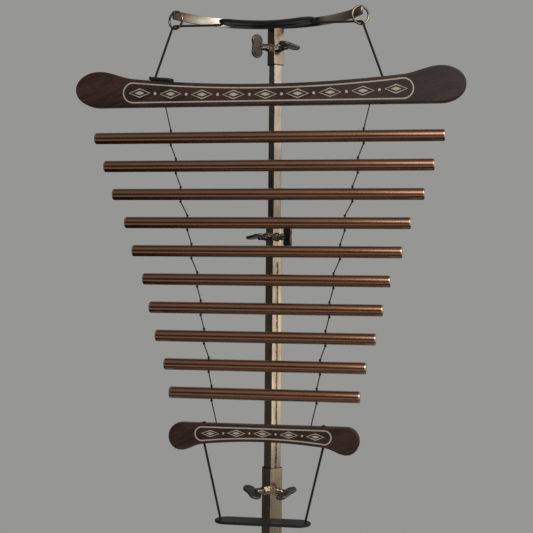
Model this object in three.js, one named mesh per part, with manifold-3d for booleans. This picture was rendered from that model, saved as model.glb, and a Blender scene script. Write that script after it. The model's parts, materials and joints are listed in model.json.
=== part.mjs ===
// Bar chime on a telescopic stand: tuned metal bars strung on two cords between two wooden boards.
// Millimetres, +Z up, +X along the bars, -Y towards the player.
// The origin is the centre of the lower post's open lower end.

import * as THREE from 'three';
import { mergeVertices } from 'three/addons/utils/BufferGeometryUtils.js';
import Module from 'manifold-3d';

const wasm = await Module();
wasm.setup();

// Clearances
const SEAT_GAP = 0.3; // between pieces that rest on each other
const SLIDE_GAP = 0.3; // on each side of a tube that slides in another
const HOLE_GAP = 0.45; // round a cord in its hole
const CUT_PAST = 1; // how far a cutter runs past what it cuts

// Telescopic post of square tubes
const UPPER_POST_SIDE = 11;
const POST_WALL = 1.2;
const POST_CORNER = 0.6;
const LOWER_POST_LENGTH = 151;
const MIDDLE_POST_LENGTH = 363;
const MIDDLE_POST_INSERT = 81; // length inside the lower post
const UPPER_POST_LENGTH = 350;
const UPPER_POST_INSERT = 130; // length inside the middle post
const GROOVE_WIDTH = 1.7;
const GROOVE_DEPTH = 0.6;
const GROOVE_TOP_DROP = 46; // from the top of the middle post to the groove's upper end

// Hanger: a socket on the upper post and a flat strip on edge, bowed in plan
const SOCKET_LENGTH = 42;
const SOCKET_CAP = 2;
const STRIP_HEIGHT = 10;
const STRIP_THICKNESS = 2.5;
const HANGER_HALF_SPAN = 103; // from the post's axis to each ring, along X
const HANGER_REACH = 62; // from the post's axis forward to the rings
const STRIP_TIP_LENGTH = 4.5; // strip beyond each ring
const NOTCH_DEPTH = 2.3; // seat of a ring in the strip's upper edge

// Rings
const RING_OUTER = 21.7;
const RING_WIRE = 2.6;

// Wing screws
const LOWER_SCREW_DROP = 26.4; // from the lower post's upper end to its clamp screws
const MIDDLE_SCREW_DROP = 17.3; // from the middle post's upper end to its clamp screws
const SOCKET_SCREW_RISE = 19.4; // from the socket's lower end to its clamp screws
const SCREW_DIAMETER = 5;
const NUT_ACROSS_FLATS = 9;
const NUT_HEIGHT = 4.5;
const HUB_DIAMETER = 8.5;
const HUB_LENGTH = 10.5;
const HUB_COLLAR = 2; // straight foot of the hub
const HUB_TIP = 7; // diameter of the hub's outer end
const WING_SPAN = 27;
const WING_LOBE = 14.5; // diameter of each rounded wing
const WING_STANDOFF = 14.5; // from the hub's base to the middle of the wings
const WING_WAIST = 12.4; // narrowest part between the wings
const WING_THICKNESS = 3.2;
const WING_BEVEL = 0.8;
const WING_FLARE = 0.45; // share of the wings' reach that the waist's curves take
const SCREW_ROLLS = { // turn of each pair of wings from the vertical, in degrees
  upper_left: 0, upper_right: 80, middle_left: 98, middle_right: 0, lower_left: 67, lower_right: -67,
};

// Chime bars
const BAR_DIAMETER = 13;
const BAR_EDGE = 1.2; // rounding of the bars' ends
const LONGEST_BAR = 390;
const BAR_SEMITONES = [0, 2, 4, 7, 9, 12, 14, 16, 19, 21]; // above the lowest bar
const NODE_SHARE = 0.2242; // still point of a free bar, as a share of its length from each end
const BAR_PITCH = 31.5;
const FIRST_BAR_DROP = 34.5; // from the top board's lower edge to the first bar's axis

// Wooden boards: half of the length, the end lobes' height and start, and the concave edge between the waists
const BOARD_THICKNESS = 12;
const BOARD_EDGE = 1;
const BOARD_BLEND = 0.35; // share of the way from waist to lobe that the curve's handles take
const TOP_BOARD = { half: 217, lobe: 40, lobeStart: 190, waist: 150, waistHeight: 31.2, middle: 23.5 };
const BOTTOM_BOARD = { half: 106, lobe: 30, lobeStart: 92, waist: 68, waistHeight: 22.7, middle: 18.6 };
const TOP_BOARD_DROP = 90; // from the cord in the rings to the top board's lower edge
const BOTTOM_BOARD_DROP = 33; // from the last bar's axis to the bottom board's upper edge

// Cords
const THIN_CORD = 1.3;
const THICK_CORD = 2.6;
const THIN_KNOT = 2.6;
const THICK_KNOT = 5;
const KNOT_SHOULDER = 0.55; // share of a knot's half that is at its full width
const TOP_BOARD_CORD_X = 114.5; // thin cords in the top board
const BOTTOM_BOARD_CORD_X = 53; // thin cords in the bottom board
const LEG_X = 127.5; // legs in the top board
// A leg's way round a ring's wire
const LEG_BEND = [[0, -0.2, 0], [1.7, -1.2, -0.5], [2.7, -2.2, -1.9], [3.4, -2.6, -3.5]];
const LOOP_X = 66.7; // lower thick cord in the bottom board
const LOOP_KNOT_SINK = 3.2; // how deep its knots lie in the board's upper edge
const LOOP_CORD_GAP = 0.75; // between that cord and the board's lower edge
const TOP_CORD_EASE = 10; // along the top plate, on each side of a hole, where the cord bends
const TOP_CORD_DIP = 0.6; // halfway along that bend
const RING_CORD_LAP = 0.8; // between the cord's end and the middle of a ring
const BOTTOM_CORD_BEND = [[-7, 0], [-2.4, 1]]; // before a hole of the bottom plate, from the cord's lower run
const BOTTOM_CORD_RISE = [1.2, 4]; // after the hole, from the plate's upper face

// Handle plates
const HANDLE_LENGTH = 107;
const HANDLE_WIDTH = 30;
const HANDLE_THICKNESS = 3.2;
const HANDLE_HOLE_X = 47;
const TOP_HANDLE_BEND = 2; // rise of the top plate's ends
const BOTTOM_HANDLE_DROP = 105.5; // from the bottom board's upper edge to the plate's upper face

// Cord adjuster on the left leg
const ADJUSTER_LENGTH = 27;
const ADJUSTER_WIDTH = 12;
const ADJUSTER_THICKNESS = 3.4;
const ADJUSTER_HOLE_INSET = 4.5;

// Facets
const BAR_SIDES = 18;
const CORD_SIDES = 8;
const HOLE_SIDES = 12;
const WIRE_SIDES = 8;
const CORNER_STEPS = 3;
const RING_STEPS = 24;
const STRIP_STEPS = 24;
const CURVE_STEPS = 8;
const WING_STEPS = 5;
const HUB_SIDES = 12;

// Places that follow from the sizes
const MIDDLE_POST_SIDE = UPPER_POST_SIDE + 2 * (POST_WALL + SLIDE_GAP);
const LOWER_POST_SIDE = MIDDLE_POST_SIDE + 2 * (POST_WALL + SLIDE_GAP);
const SOCKET_SIDE = MIDDLE_POST_SIDE;
const middlePostBase = LOWER_POST_LENGTH - MIDDLE_POST_INSERT;
const middlePostTop = middlePostBase + MIDDLE_POST_LENGTH;
const upperPostBase = middlePostTop - UPPER_POST_INSERT;
const upperPostTop = upperPostBase + UPPER_POST_LENGTH;
const socketTop = upperPostTop + SEAT_GAP + SOCKET_CAP;
const socketBase = socketTop - SOCKET_LENGTH;
const stripBase = socketTop + SEAT_GAP;
const stripTop = stripBase + STRIP_HEIGHT;
const stripRadius = (HANGER_HALF_SPAN ** 2 + HANGER_REACH ** 2) / (2 * HANGER_REACH);
const ringAngle = Math.asin(HANGER_HALF_SPAN / stripRadius);
const ringRadius = (RING_OUTER - RING_WIRE) / 2;
const ringZ = stripTop - NOTCH_DEPTH + SEAT_GAP + RING_WIRE / 2 - ringRadius;
const chimeY = -HANGER_REACH;
const hangZ = ringZ - ringRadius + RING_WIRE / 2 + SEAT_GAP + THICK_CORD / 2;
const topBoardBase = hangZ - TOP_BOARD_DROP;
const barLengths = BAR_SEMITONES.map((semitone) => LONGEST_BAR * 2 ** (-semitone / 24));
const barX = barLengths.map((length) => length * (0.5 - NODE_SHARE));
const barZ = barLengths.map((_, index) => topBoardBase - FIRST_BAR_DROP - index * BAR_PITCH);
const bottomBoardTop = barZ[barZ.length - 1] - BOTTOM_BOARD_DROP;
const bottomHandleTop = bottomBoardTop - BOTTOM_HANDLE_DROP;
const SIDES = { left: -1, right: 1 };

// Solids: a closed geometry becomes a solid that can be joined and cut, and goes back to a geometry
function toSolid(geometry) {
  const bare = geometry.index ? geometry.toNonIndexed() : geometry.clone();
  bare.deleteAttribute('normal');
  bare.deleteAttribute('uv');
  const merged = mergeVertices(bare, 1e-4);
  return new wasm.Manifold(new wasm.Mesh({
    numProp: 3,
    vertProperties: new Float32Array(merged.attributes.position.array),
    triVerts: new Uint32Array(merged.index.array),
  }));
}

function toGeometry(solid) {
  const mesh = solid.getMesh();
  const geometry = new THREE.BufferGeometry();
  geometry.setAttribute('position', new THREE.BufferAttribute(new Float32Array(mesh.vertProperties), 3));
  geometry.setIndex(new THREE.BufferAttribute(new Uint32Array(mesh.triVerts), 1));
  geometry.computeVertexNormals();
  return geometry;
}

function join(...geometries) {
  return toGeometry(geometries.map(toSolid).reduce((whole, piece) => whole.add(piece)));
}

function cut(geometry, ...cutters) {
  return toGeometry(cutters.map(toSolid).reduce((whole, piece) => whole.subtract(piece), toSolid(geometry)));
}

function overlapOf(first, second) {
  return toGeometry(toSolid(first).intersect(toSolid(second)));
}

// A round drill along Z from low to high
function drill(x, y, low, high, diameter, sides = HOLE_SIDES) {
  const geometry = new THREE.CylinderGeometry(diameter / 2, diameter / 2, high - low, sides);
  return geometry.rotateX(Math.PI / 2).translate(x, y, (low + high) / 2);
}

// A cord lofted through stations of x, y, z and radius, with flat ends
function cordGeometry(stations) {
  const points = stations.map(([x, y, z]) => new THREE.Vector3(x, y, z));
  const positions = [];
  const index = [];
  const across = new THREE.Vector3(0, 1, 0);
  stations.forEach(([, , , radius], i) => {
    const before = points[Math.max(i - 1, 0)];
    const after = points[Math.min(i + 1, points.length - 1)];
    const along = after.clone().sub(before).normalize();
    const first = across.clone().addScaledVector(along, -across.dot(along)).normalize();
    const second = along.clone().cross(first);
    for (let side = 0; side < CORD_SIDES; side += 1) {
      const angle = (side / CORD_SIDES) * 2 * Math.PI;
      const point = points[i].clone();
      point.addScaledVector(first, radius * Math.cos(angle));
      point.addScaledVector(second, radius * Math.sin(angle));
      positions.push(point.x, point.y, point.z);
    }
  });
  for (let i = 0; i < stations.length - 1; i += 1) {
    for (let side = 0; side < CORD_SIDES; side += 1) {
      const a = i * CORD_SIDES + side;
      const b = i * CORD_SIDES + ((side + 1) % CORD_SIDES);
      index.push(a, b, b + CORD_SIDES, a, b + CORD_SIDES, a + CORD_SIDES);
    }
  }
  const last = (stations.length - 1) * CORD_SIDES;
  for (let side = 1; side < CORD_SIDES - 1; side += 1) {
    index.push(0, side + 1, side);
    index.push(last, last + side, last + side + 1);
  }
  const geometry = new THREE.BufferGeometry();
  geometry.setAttribute('position', new THREE.Float32BufferAttribute(positions, 3));
  geometry.setIndex(index);
  geometry.computeVertexNormals();
  return geometry;
}

// The stations of a knot centred on a point of a cord that runs downwards
function knotStations(x, y, z, cordDiameter, knotDiameter) {
  const half = knotDiameter / 2;
  const shoulder = half * KNOT_SHOULDER;
  return [
    [x, y, z + half, cordDiameter / 2],
    [x, y, z + shoulder, half],
    [x, y, z - shoulder, half],
    [x, y, z - half, cordDiameter / 2],
  ];
}

// Materials
function finish(color, roughness, metalness) {
  return () => new THREE.MeshStandardMaterial({ color, roughness, metalness });
}
const nickel = finish(0xa89880, 0.35, 1);
const copper = finish(0x8a5a3e, 0.4, 1);
const walnut = finish(0x4b322a, 0.6, 0);
const blackCord = finish(0x141414, 0.9, 0);
const blackRubber = finish(0x2d2d30, 0.7, 0);

const chime = new THREE.Group();

function add(name, geometry, makeMaterial, parent = chime) {
  const mesh = new THREE.Mesh(geometry, makeMaterial());
  mesh.name = name;
  parent.add(mesh);
  return mesh;
}

// Square tube along Z with rounded corners, open at both ends
function roundedSquare(Path, side, corner) {
  const half = side / 2;
  const path = new Path();
  path.moveTo(half, -half + corner);
  path.absarc(half - corner, half - corner, corner, 0, Math.PI / 2);
  path.absarc(-half + corner, half - corner, corner, Math.PI / 2, Math.PI);
  path.absarc(-half + corner, -half + corner, corner, Math.PI, 1.5 * Math.PI);
  path.absarc(half - corner, -half + corner, corner, 1.5 * Math.PI, 2 * Math.PI);
  return path;
}

function squareTube(side, base, length) {
  const outline = roundedSquare(THREE.Shape, side, POST_CORNER);
  outline.holes.push(roundedSquare(THREE.Path, side - 2 * POST_WALL, POST_CORNER / 2));
  const geometry = new THREE.ExtrudeGeometry(outline, {
    depth: length, bevelEnabled: false, curveSegments: CORNER_STEPS,
  });
  return geometry.translate(0, 0, base);
}

// Places a shape modelled along +Z so that it stands out of the post's left (-X) or right (-Y) front face
function outOfFace(geometry, side, distance, z) {
  geometry.translate(0, 0, distance);
  if (side === 'left') geometry.rotateY(-Math.PI / 2);
  else geometry.rotateX(Math.PI / 2);
  return geometry.translate(0, 0, z);
}

// A tube with a welded nut and a clearance hole for a clamp screw on each front face
function clampedTube(tube, side, z) {
  const nutRadius = NUT_ACROSS_FLATS / Math.sqrt(3);
  const nuts = [];
  const holes = [];
  for (const face of Object.keys(SIDES)) {
    const nut = new THREE.CylinderGeometry(nutRadius, nutRadius, NUT_HEIGHT + POST_WALL / 2, 6);
    nut.rotateX(Math.PI / 2);
    nuts.push(outOfFace(nut, face, side / 2 + (NUT_HEIGHT - POST_WALL / 2) / 2, z));
    const length = POST_WALL + NUT_HEIGHT + 2 * CUT_PAST;
    const hole = drill(0, 0, 0, length, SCREW_DIAMETER + 2 * SEAT_GAP);
    holes.push(outOfFace(hole, face, side / 2 - POST_WALL - CUT_PAST, z));
  }
  return cut(join(tube, ...nuts), ...holes);
}

// Wing screw along +Z: tip at the clamped tube, hub on the nut and two rounded wings
function wingScrew() {
  const tip = SLIDE_GAP - SEAT_GAP / 2;
  const hubBase = SLIDE_GAP + POST_WALL + NUT_HEIGHT + SEAT_GAP;
  const shank = SCREW_DIAMETER / 2;
  const hub = HUB_DIAMETER / 2;
  const profile = [
    [0, tip], [shank, tip], [shank, hubBase], [hub, hubBase], [hub, hubBase + HUB_COLLAR],
    [HUB_TIP / 2, hubBase + HUB_LENGTH], [0, hubBase + HUB_LENGTH],
  ].map(([radius, height]) => new THREE.Vector2(radius, height));
  const body = new THREE.LatheGeometry(profile, HUB_SIDES).rotateX(Math.PI / 2);

  const lobe = WING_LOBE / 2;
  const reach = WING_SPAN / 2 - lobe;
  const waist = WING_WAIST / 2;
  const flare = reach * WING_FLARE;
  const outline = new THREE.Shape();
  outline.moveTo(reach, -lobe);
  outline.absarc(reach, 0, lobe, -Math.PI / 2, Math.PI / 2);
  outline.bezierCurveTo(flare, lobe, flare, waist, 0, waist);
  outline.bezierCurveTo(-flare, waist, -flare, lobe, -reach, lobe);
  outline.absarc(-reach, 0, lobe, Math.PI / 2, 1.5 * Math.PI);
  outline.bezierCurveTo(-flare, -lobe, -flare, -waist, 0, -waist);
  outline.bezierCurveTo(flare, -waist, flare, -lobe, reach, -lobe);
  const wings = new THREE.ExtrudeGeometry(outline, {
    depth: WING_THICKNESS - 2 * WING_BEVEL, bevelThickness: WING_BEVEL, bevelSize: WING_BEVEL,
    bevelOffset: -WING_BEVEL, bevelSegments: 1, curveSegments: WING_STEPS,
  });
  wings.translate(0, 0, WING_BEVEL - WING_THICKNESS / 2);
  wings.rotateX(Math.PI / 2).translate(0, 0, hubBase + WING_STANDOFF);
  return join(body, wings);
}

// Post: all its tubes stand cornerwise to the front
const post = new THREE.Group();
post.rotation.z = Math.PI / 4;
chime.add(post);

const lowerScrewZ = LOWER_POST_LENGTH - LOWER_SCREW_DROP;
const middleScrewZ = middlePostTop - MIDDLE_SCREW_DROP;
const upperScrewZ = socketBase + SOCKET_SCREW_RISE;

function addPost() {
  const lower = squareTube(LOWER_POST_SIDE, 0, LOWER_POST_LENGTH);
  add('lower_post', clampedTube(lower, LOWER_POST_SIDE, lowerScrewZ), nickel, post);

  const middle = squareTube(MIDDLE_POST_SIDE, middlePostBase, MIDDLE_POST_LENGTH);
  const grooveLength = MIDDLE_POST_LENGTH - GROOVE_TOP_DROP + CUT_PAST;
  const groove = new THREE.BoxGeometry(GROOVE_WIDTH, 2 * GROOVE_DEPTH, grooveLength);
  groove.translate(0, -MIDDLE_POST_SIDE / 2, middlePostTop - GROOVE_TOP_DROP - grooveLength / 2);
  add('middle_post', cut(clampedTube(middle, MIDDLE_POST_SIDE, middleScrewZ), groove), nickel, post);

  add('upper_post', squareTube(UPPER_POST_SIDE, upperPostBase, UPPER_POST_LENGTH), nickel, post);

  const socket = squareTube(SOCKET_SIDE, socketBase, SOCKET_LENGTH - SOCKET_CAP / 2);
  const lid = new THREE.ExtrudeGeometry(roundedSquare(THREE.Shape, SOCKET_SIDE, POST_CORNER), {
    depth: SOCKET_CAP, bevelEnabled: false, curveSegments: CORNER_STEPS,
  }).translate(0, 0, socketTop - SOCKET_CAP);
  add('hanger_socket', clampedTube(join(socket, lid), SOCKET_SIDE, upperScrewZ), nickel, post);
}

function addScrews() {
  const joints = [
    ['upper', UPPER_POST_SIDE, upperScrewZ],
    ['middle', UPPER_POST_SIDE, middleScrewZ],
    ['lower', MIDDLE_POST_SIDE, lowerScrewZ],
  ];
  for (const [level, clampedSide, z] of joints) {
    for (const face of Object.keys(SIDES)) {
      const roll = THREE.MathUtils.degToRad(SCREW_ROLLS[`${level}_${face}`]);
      const screw = wingScrew().rotateZ(roll + (face === 'left' ? 0 : Math.PI / 2));
      add(`${level}_${face}_screw`, outOfFace(screw, face, clampedSide / 2, z), nickel, post);
    }
  }
}

// Hanger strip: an arc in plan, with a round notch for each ring in its upper edge
function addHanger() {
  const half = STRIP_THICKNESS / 2;
  const tipAngle = ringAngle + STRIP_TIP_LENGTH / stripRadius;
  const outline = new THREE.Shape();
  outline.absarc(0, 0, stripRadius + half, Math.PI / 2 - tipAngle, Math.PI / 2 + tipAngle);
  outline.absarc(0, 0, stripRadius - half, Math.PI / 2 + tipAngle, Math.PI / 2 - tipAngle, true);
  const strip = new THREE.ExtrudeGeometry(outline, {
    depth: STRIP_HEIGHT, bevelEnabled: false, curveSegments: STRIP_STEPS,
  }).translate(0, -stripRadius, stripBase);
  const notchRadius = RING_WIRE / 2 + SEAT_GAP;
  const notches = Object.values(SIDES).map((side) => {
    const notch = new THREE.CylinderGeometry(notchRadius, notchRadius, 4 * STRIP_THICKNESS, HOLE_SIDES);
    notch.rotateZ(Math.PI / 2).rotateZ(Math.PI / 2 - side * ringAngle);
    return notch.translate(side * HANGER_HALF_SPAN, chimeY, stripTop - NOTCH_DEPTH + notchRadius);
  });
  add('hanger_bar', cut(strip, ...notches), nickel);

  for (const [name, side] of Object.entries(SIDES)) {
    const ring = new THREE.TorusGeometry(ringRadius, RING_WIRE / 2, WIRE_SIDES, RING_STEPS);
    ring.rotateX(Math.PI / 2).rotateZ(Math.PI / 2 - side * ringAngle);
    add(`${name}_ring`, ring.translate(side * HANGER_HALF_SPAN, chimeY, ringZ), nickel);
  }
}

// A board's outline: one straight edge on y = 0, rounded ends and a shallow concave edge between two lobes
function boardOutline({ half, lobe, lobeStart, waist, waistHeight, middle }) {
  const slope = (2 * (waistHeight - middle)) / waist;
  const blend = (lobeStart - waist) * BOARD_BLEND;
  const endRadius = half - lobeStart;
  const outline = new THREE.Shape();
  outline.moveTo(-lobeStart, 0);
  outline.lineTo(lobeStart, 0);
  outline.absellipse(lobeStart, lobe / 2, endRadius, lobe / 2, -Math.PI / 2, Math.PI / 2);
  const blendHeight = waistHeight + slope * blend;
  outline.bezierCurveTo(lobeStart - blend, lobe, waist + blend, blendHeight, waist, waistHeight);
  outline.quadraticCurveTo(0, 2 * middle - waistHeight, -waist, waistHeight);
  outline.bezierCurveTo(-waist - blend, blendHeight, -lobeStart + blend, lobe, -lobeStart, lobe);
  outline.absellipse(-lobeStart, lobe / 2, endRadius, lobe / 2, Math.PI / 2, 1.5 * Math.PI);
  return outline;
}

// The height of a board's concave edge over its straight edge, between its waists
function boardHeight({ waist, waistHeight, middle }, x) {
  return middle + (waistHeight - middle) * (x / waist) ** 2;
}

function boardBlank(board) {
  const geometry = new THREE.ExtrudeGeometry(boardOutline(board), {
    depth: BOARD_THICKNESS - 2 * BOARD_EDGE, bevelThickness: BOARD_EDGE, bevelSize: BOARD_EDGE,
    bevelOffset: -BOARD_EDGE, bevelSegments: 1, curveSegments: CURVE_STEPS,
  });
  return geometry.translate(0, 0, BOARD_EDGE - BOARD_THICKNESS / 2).rotateX(Math.PI / 2);
}

// Boards are drilled for the cords, with a wider recess for each knot that sits inside
function addBoards() {
  const topHoles = [];
  const bottomHoles = [];
  const thinHole = THIN_CORD + 2 * HOLE_GAP;
  const thickHole = THICK_CORD + 2 * HOLE_GAP;
  const far = TOP_BOARD.lobe;
  for (const side of Object.values(SIDES)) {
    const thinTop = boardHeight(TOP_BOARD, TOP_BOARD_CORD_X) - knotRecess(THIN_KNOT);
    topHoles.push(drill(side * TOP_BOARD_CORD_X, 0, -CUT_PAST, far, thinHole, CORD_SIDES));
    topHoles.push(drill(side * TOP_BOARD_CORD_X, 0, thinTop, far, recessWidth(THIN_KNOT)));
    topHoles.push(drill(side * LEG_X, 0, -CUT_PAST, far, thickHole));
    topHoles.push(drill(side * LEG_X, 0, -CUT_PAST, knotRecess(THICK_KNOT), recessWidth(THICK_KNOT)));
    const thinBottom = -boardHeight(BOTTOM_BOARD, BOTTOM_BOARD_CORD_X);
    bottomHoles.push(drill(side * BOTTOM_BOARD_CORD_X, 0, -far, CUT_PAST, thinHole, CORD_SIDES));
    const recessTop = thinBottom + knotRecess(THIN_KNOT);
    bottomHoles.push(drill(side * BOTTOM_BOARD_CORD_X, 0, -far, recessTop, recessWidth(THIN_KNOT)));
    bottomHoles.push(drill(side * LOOP_X, 0, -far, CUT_PAST, thickHole));
    const sink = LOOP_KNOT_SINK + SEAT_GAP;
    bottomHoles.push(drill(side * LOOP_X, 0, -sink, CUT_PAST, recessWidth(THICK_KNOT)));
  }
  add('top_board', cut(boardBlank(TOP_BOARD), ...topHoles).translate(0, chimeY, topBoardBase), walnut);
  const flipped = boardBlank(BOTTOM_BOARD).rotateX(Math.PI);
  add('bottom_board', cut(flipped, ...bottomHoles).translate(0, chimeY, bottomBoardTop), walnut);
}

function knotRecess(knot) {
  return knot + 2 * SEAT_GAP;
}

function recessWidth(knot) {
  return knot + 2 * HOLE_GAP;
}

// Bars: round rods with rounded ends, drilled across at their two still points
function addBars() {
  barLengths.forEach((length, index) => {
    const radius = BAR_DIAMETER / 2;
    const end = length / 2;
    const inset = BAR_EDGE * (1 - Math.SQRT1_2);
    const profile = [
      [0, -end], [radius - BAR_EDGE, -end], [radius - inset, -end + inset], [radius, -end + BAR_EDGE],
      [radius, end - BAR_EDGE], [radius - inset, end - inset], [radius - BAR_EDGE, end], [0, end],
    ].map(([r, along]) => new THREE.Vector2(r, along));
    const rod = new THREE.LatheGeometry(profile, BAR_SIDES).rotateZ(Math.PI / 2);
    const holes = Object.values(SIDES).map((side) => (
      drill(side * barX[index], 0, -BAR_DIAMETER, BAR_DIAMETER, THIN_CORD + 2 * HOLE_GAP, CORD_SIDES)
    ));
    add(`bar_${index + 1}`, cut(rod, ...holes).translate(0, chimeY, barZ[index]), copper);
  });
}

// Thin cords: one length for each bar, from the knot under the piece above to the knot under that bar
function addThinCords() {
  const radius = THIN_CORD / 2;
  const barRadius = BAR_DIAMETER / 2;
  const knotReach = THIN_KNOT / 2 + SEAT_GAP;
  for (const [name, side] of Object.entries(SIDES)) {
    let startX = side * TOP_BOARD_CORD_X;
    let startZ = topBoardBase;
    barLengths.forEach((_, index) => {
      const x = side * barX[index];
      const above = barZ[index] + barRadius + knotReach;
      const below = barZ[index] - barRadius - knotReach;
      const stations = [
        [startX, chimeY, startZ, radius],
        ...knotStations(x, chimeY, above, THIN_CORD, THIN_KNOT),
        ...knotStations(x, chimeY, below, THIN_CORD, THIN_KNOT),
      ];
      add(`${name}_cord_${index + 1}`, cordGeometry(stations), blackCord);
      startX = x;
      startZ = below - THIN_KNOT / 2 - SEAT_GAP;
    });
    const x = side * BOTTOM_BOARD_CORD_X;
    const knotZ = bottomBoardTop - boardHeight(BOTTOM_BOARD, x) + THIN_KNOT / 2 + SEAT_GAP;
    const stations = [
      [startX, chimeY, startZ, radius],
      [x, chimeY, bottomBoardTop + THIN_CORD, radius],
      ...knotStations(x, chimeY, knotZ, THIN_CORD, THIN_KNOT),
    ];
    add(`${name}_cord_${barLengths.length + 1}`, cordGeometry(stations), blackCord);

    const boardX = side * TOP_BOARD_CORD_X;
    const boardKnotZ = topBoardBase + boardHeight(TOP_BOARD, boardX) - THIN_KNOT / 2 - SEAT_GAP;
    add(`${name}_board_knot`, cordGeometry([
      ...knotStations(boardX, chimeY, boardKnotZ, THIN_CORD, THIN_KNOT),
      [boardX, chimeY, topBoardBase + SEAT_GAP, radius],
    ]), blackCord);
  }
}

// The thick cord through the top plate, as x and z from its middle to a ring
function topCordRoute() {
  const over = topHandleBase() + HANDLE_THICKNESS + TOP_HANDLE_BEND + THICK_CORD / 2 + SEAT_GAP;
  const half = TOP_CORD_EASE / 2;
  return [
    [0, over], [HANDLE_HOLE_X - TOP_CORD_EASE, over], [HANDLE_HOLE_X - half, over - TOP_CORD_DIP],
    [HANDLE_HOLE_X, (over + hangZ) / 2], [HANDLE_HOLE_X + half, hangZ + TOP_CORD_DIP / 2],
    [HANDLE_HOLE_X + TOP_CORD_EASE, hangZ], [HANGER_HALF_SPAN - RING_CORD_LAP, hangZ],
  ];
}

function topHandleBase() {
  return hangZ + THICK_CORD / 2 + SEAT_GAP - TOP_HANDLE_BEND;
}

// The thick cord under the bottom plate, as x and z from its middle to the bottom board
function bottomCordRoute() {
  const under = bottomHandleTop - HANDLE_THICKNESS - THICK_CORD / 2 - SEAT_GAP;
  const boardZ = bottomBoardTop - boardHeight(BOTTOM_BOARD, LOOP_X);
  const [out, up] = BOTTOM_CORD_RISE;
  return [
    [0, under], ...BOTTOM_CORD_BEND.map(([x, z]) => [HANDLE_HOLE_X + x, under + z]),
    [HANDLE_HOLE_X, bottomHandleTop - HANDLE_THICKNESS / 2], [HANDLE_HOLE_X + out, bottomHandleTop + up],
    [LOOP_X, boardZ - LOOP_CORD_GAP],
  ];
}

// Both halves of a route, from the left end to the right end
function wholeRoute(route, diameter) {
  const right = route.map(([x, z]) => [x, chimeY, z, diameter / 2]);
  const left = right.slice(1).reverse().map(([x, y, z, radius]) => [-x, y, z, radius]);
  return [...left, ...right];
}

// The legs: over the wire of each ring, down to the top board and through it to a knot
function legStations(side) {
  const knotZ = topBoardBase + SEAT_GAP + THICK_KNOT / 2;
  const entry = topBoardBase + boardHeight(TOP_BOARD, LEG_X);
  const radius = THICK_CORD / 2;
  return [
    ...LEG_BEND.map(([x, y, z]) => [side * (HANGER_HALF_SPAN + x), chimeY + y, hangZ + z, radius]),
    [side * LEG_X, chimeY, entry, radius],
    ...knotStations(side * LEG_X, chimeY, knotZ, THICK_CORD, THICK_KNOT),
  ];
}

function addThickCords() {
  add('top_cord', cordGeometry(wholeRoute(topCordRoute(), THICK_CORD)), blackCord);
  add('bottom_cord', cordGeometry(wholeRoute(bottomCordRoute(), THICK_CORD)), blackCord);
  for (const [name, side] of Object.entries(SIDES)) {
    add(`${name}_leg_cord`, cordGeometry(legStations(side)), blackCord);
    const knotZ = bottomBoardTop - LOOP_KNOT_SINK + THICK_KNOT / 2;
    add(`${name}_loop_knot`, cordGeometry([
      ...knotStations(side * LOOP_X, chimeY, knotZ, THICK_CORD, THICK_KNOT),
      [side * LOOP_X, chimeY, bottomBoardTop - boardHeight(BOTTOM_BOARD, LOOP_X), THICK_CORD / 2],
    ]), blackCord);
  }
}

// A handle plate: round-ended in plan, with its ends bent up, and holes where the cord goes through
function handlePlate(bend, route) {
  const reach = HANDLE_LENGTH / 2 - HANDLE_WIDTH / 2;
  const plan = new THREE.Shape();
  plan.absarc(reach, 0, HANDLE_WIDTH / 2, -Math.PI / 2, Math.PI / 2);
  plan.absarc(-reach, 0, HANDLE_WIDTH / 2, Math.PI / 2, 1.5 * Math.PI);
  const tall = HANDLE_THICKNESS + bend + 2 * CUT_PAST;
  const blank = new THREE.ExtrudeGeometry(plan, {
    depth: tall, bevelEnabled: false, curveSegments: CURVE_STEPS,
  });
  const side = new THREE.Shape();
  const far = HANDLE_LENGTH / 2 + CUT_PAST;
  side.moveTo(-far, bend);
  side.quadraticCurveTo(0, -bend, far, bend);
  side.lineTo(far, bend + HANDLE_THICKNESS);
  side.quadraticCurveTo(0, HANDLE_THICKNESS - bend, -far, bend + HANDLE_THICKNESS);
  const band = new THREE.ExtrudeGeometry(side, {
    depth: HANDLE_WIDTH + 2 * CUT_PAST, bevelEnabled: false, curveSegments: bend > 0 ? CURVE_STEPS : 1,
  });
  band.rotateX(Math.PI / 2).translate(0, HANDLE_WIDTH / 2 + CUT_PAST, 0);
  const plate = overlapOf(blank.translate(0, 0, -CUT_PAST), band);
  return cut(plate, route);
}

function addHandles() {
  const passage = THICK_CORD + 2 * SEAT_GAP;
  const topCut = cordGeometry(wholeRoute(topCordRoute(), passage)).translate(0, -chimeY, -topHandleBase());
  const topPlate = handlePlate(TOP_HANDLE_BEND, topCut).translate(0, chimeY, topHandleBase());
  add('top_handle', topPlate, blackRubber);
  const base = bottomHandleTop - HANDLE_THICKNESS;
  const bottomCut = cordGeometry(wholeRoute(bottomCordRoute(), passage)).translate(0, -chimeY, -base);
  add('bottom_handle', handlePlate(0, bottomCut).translate(0, chimeY, base), blackRubber);
}

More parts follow.
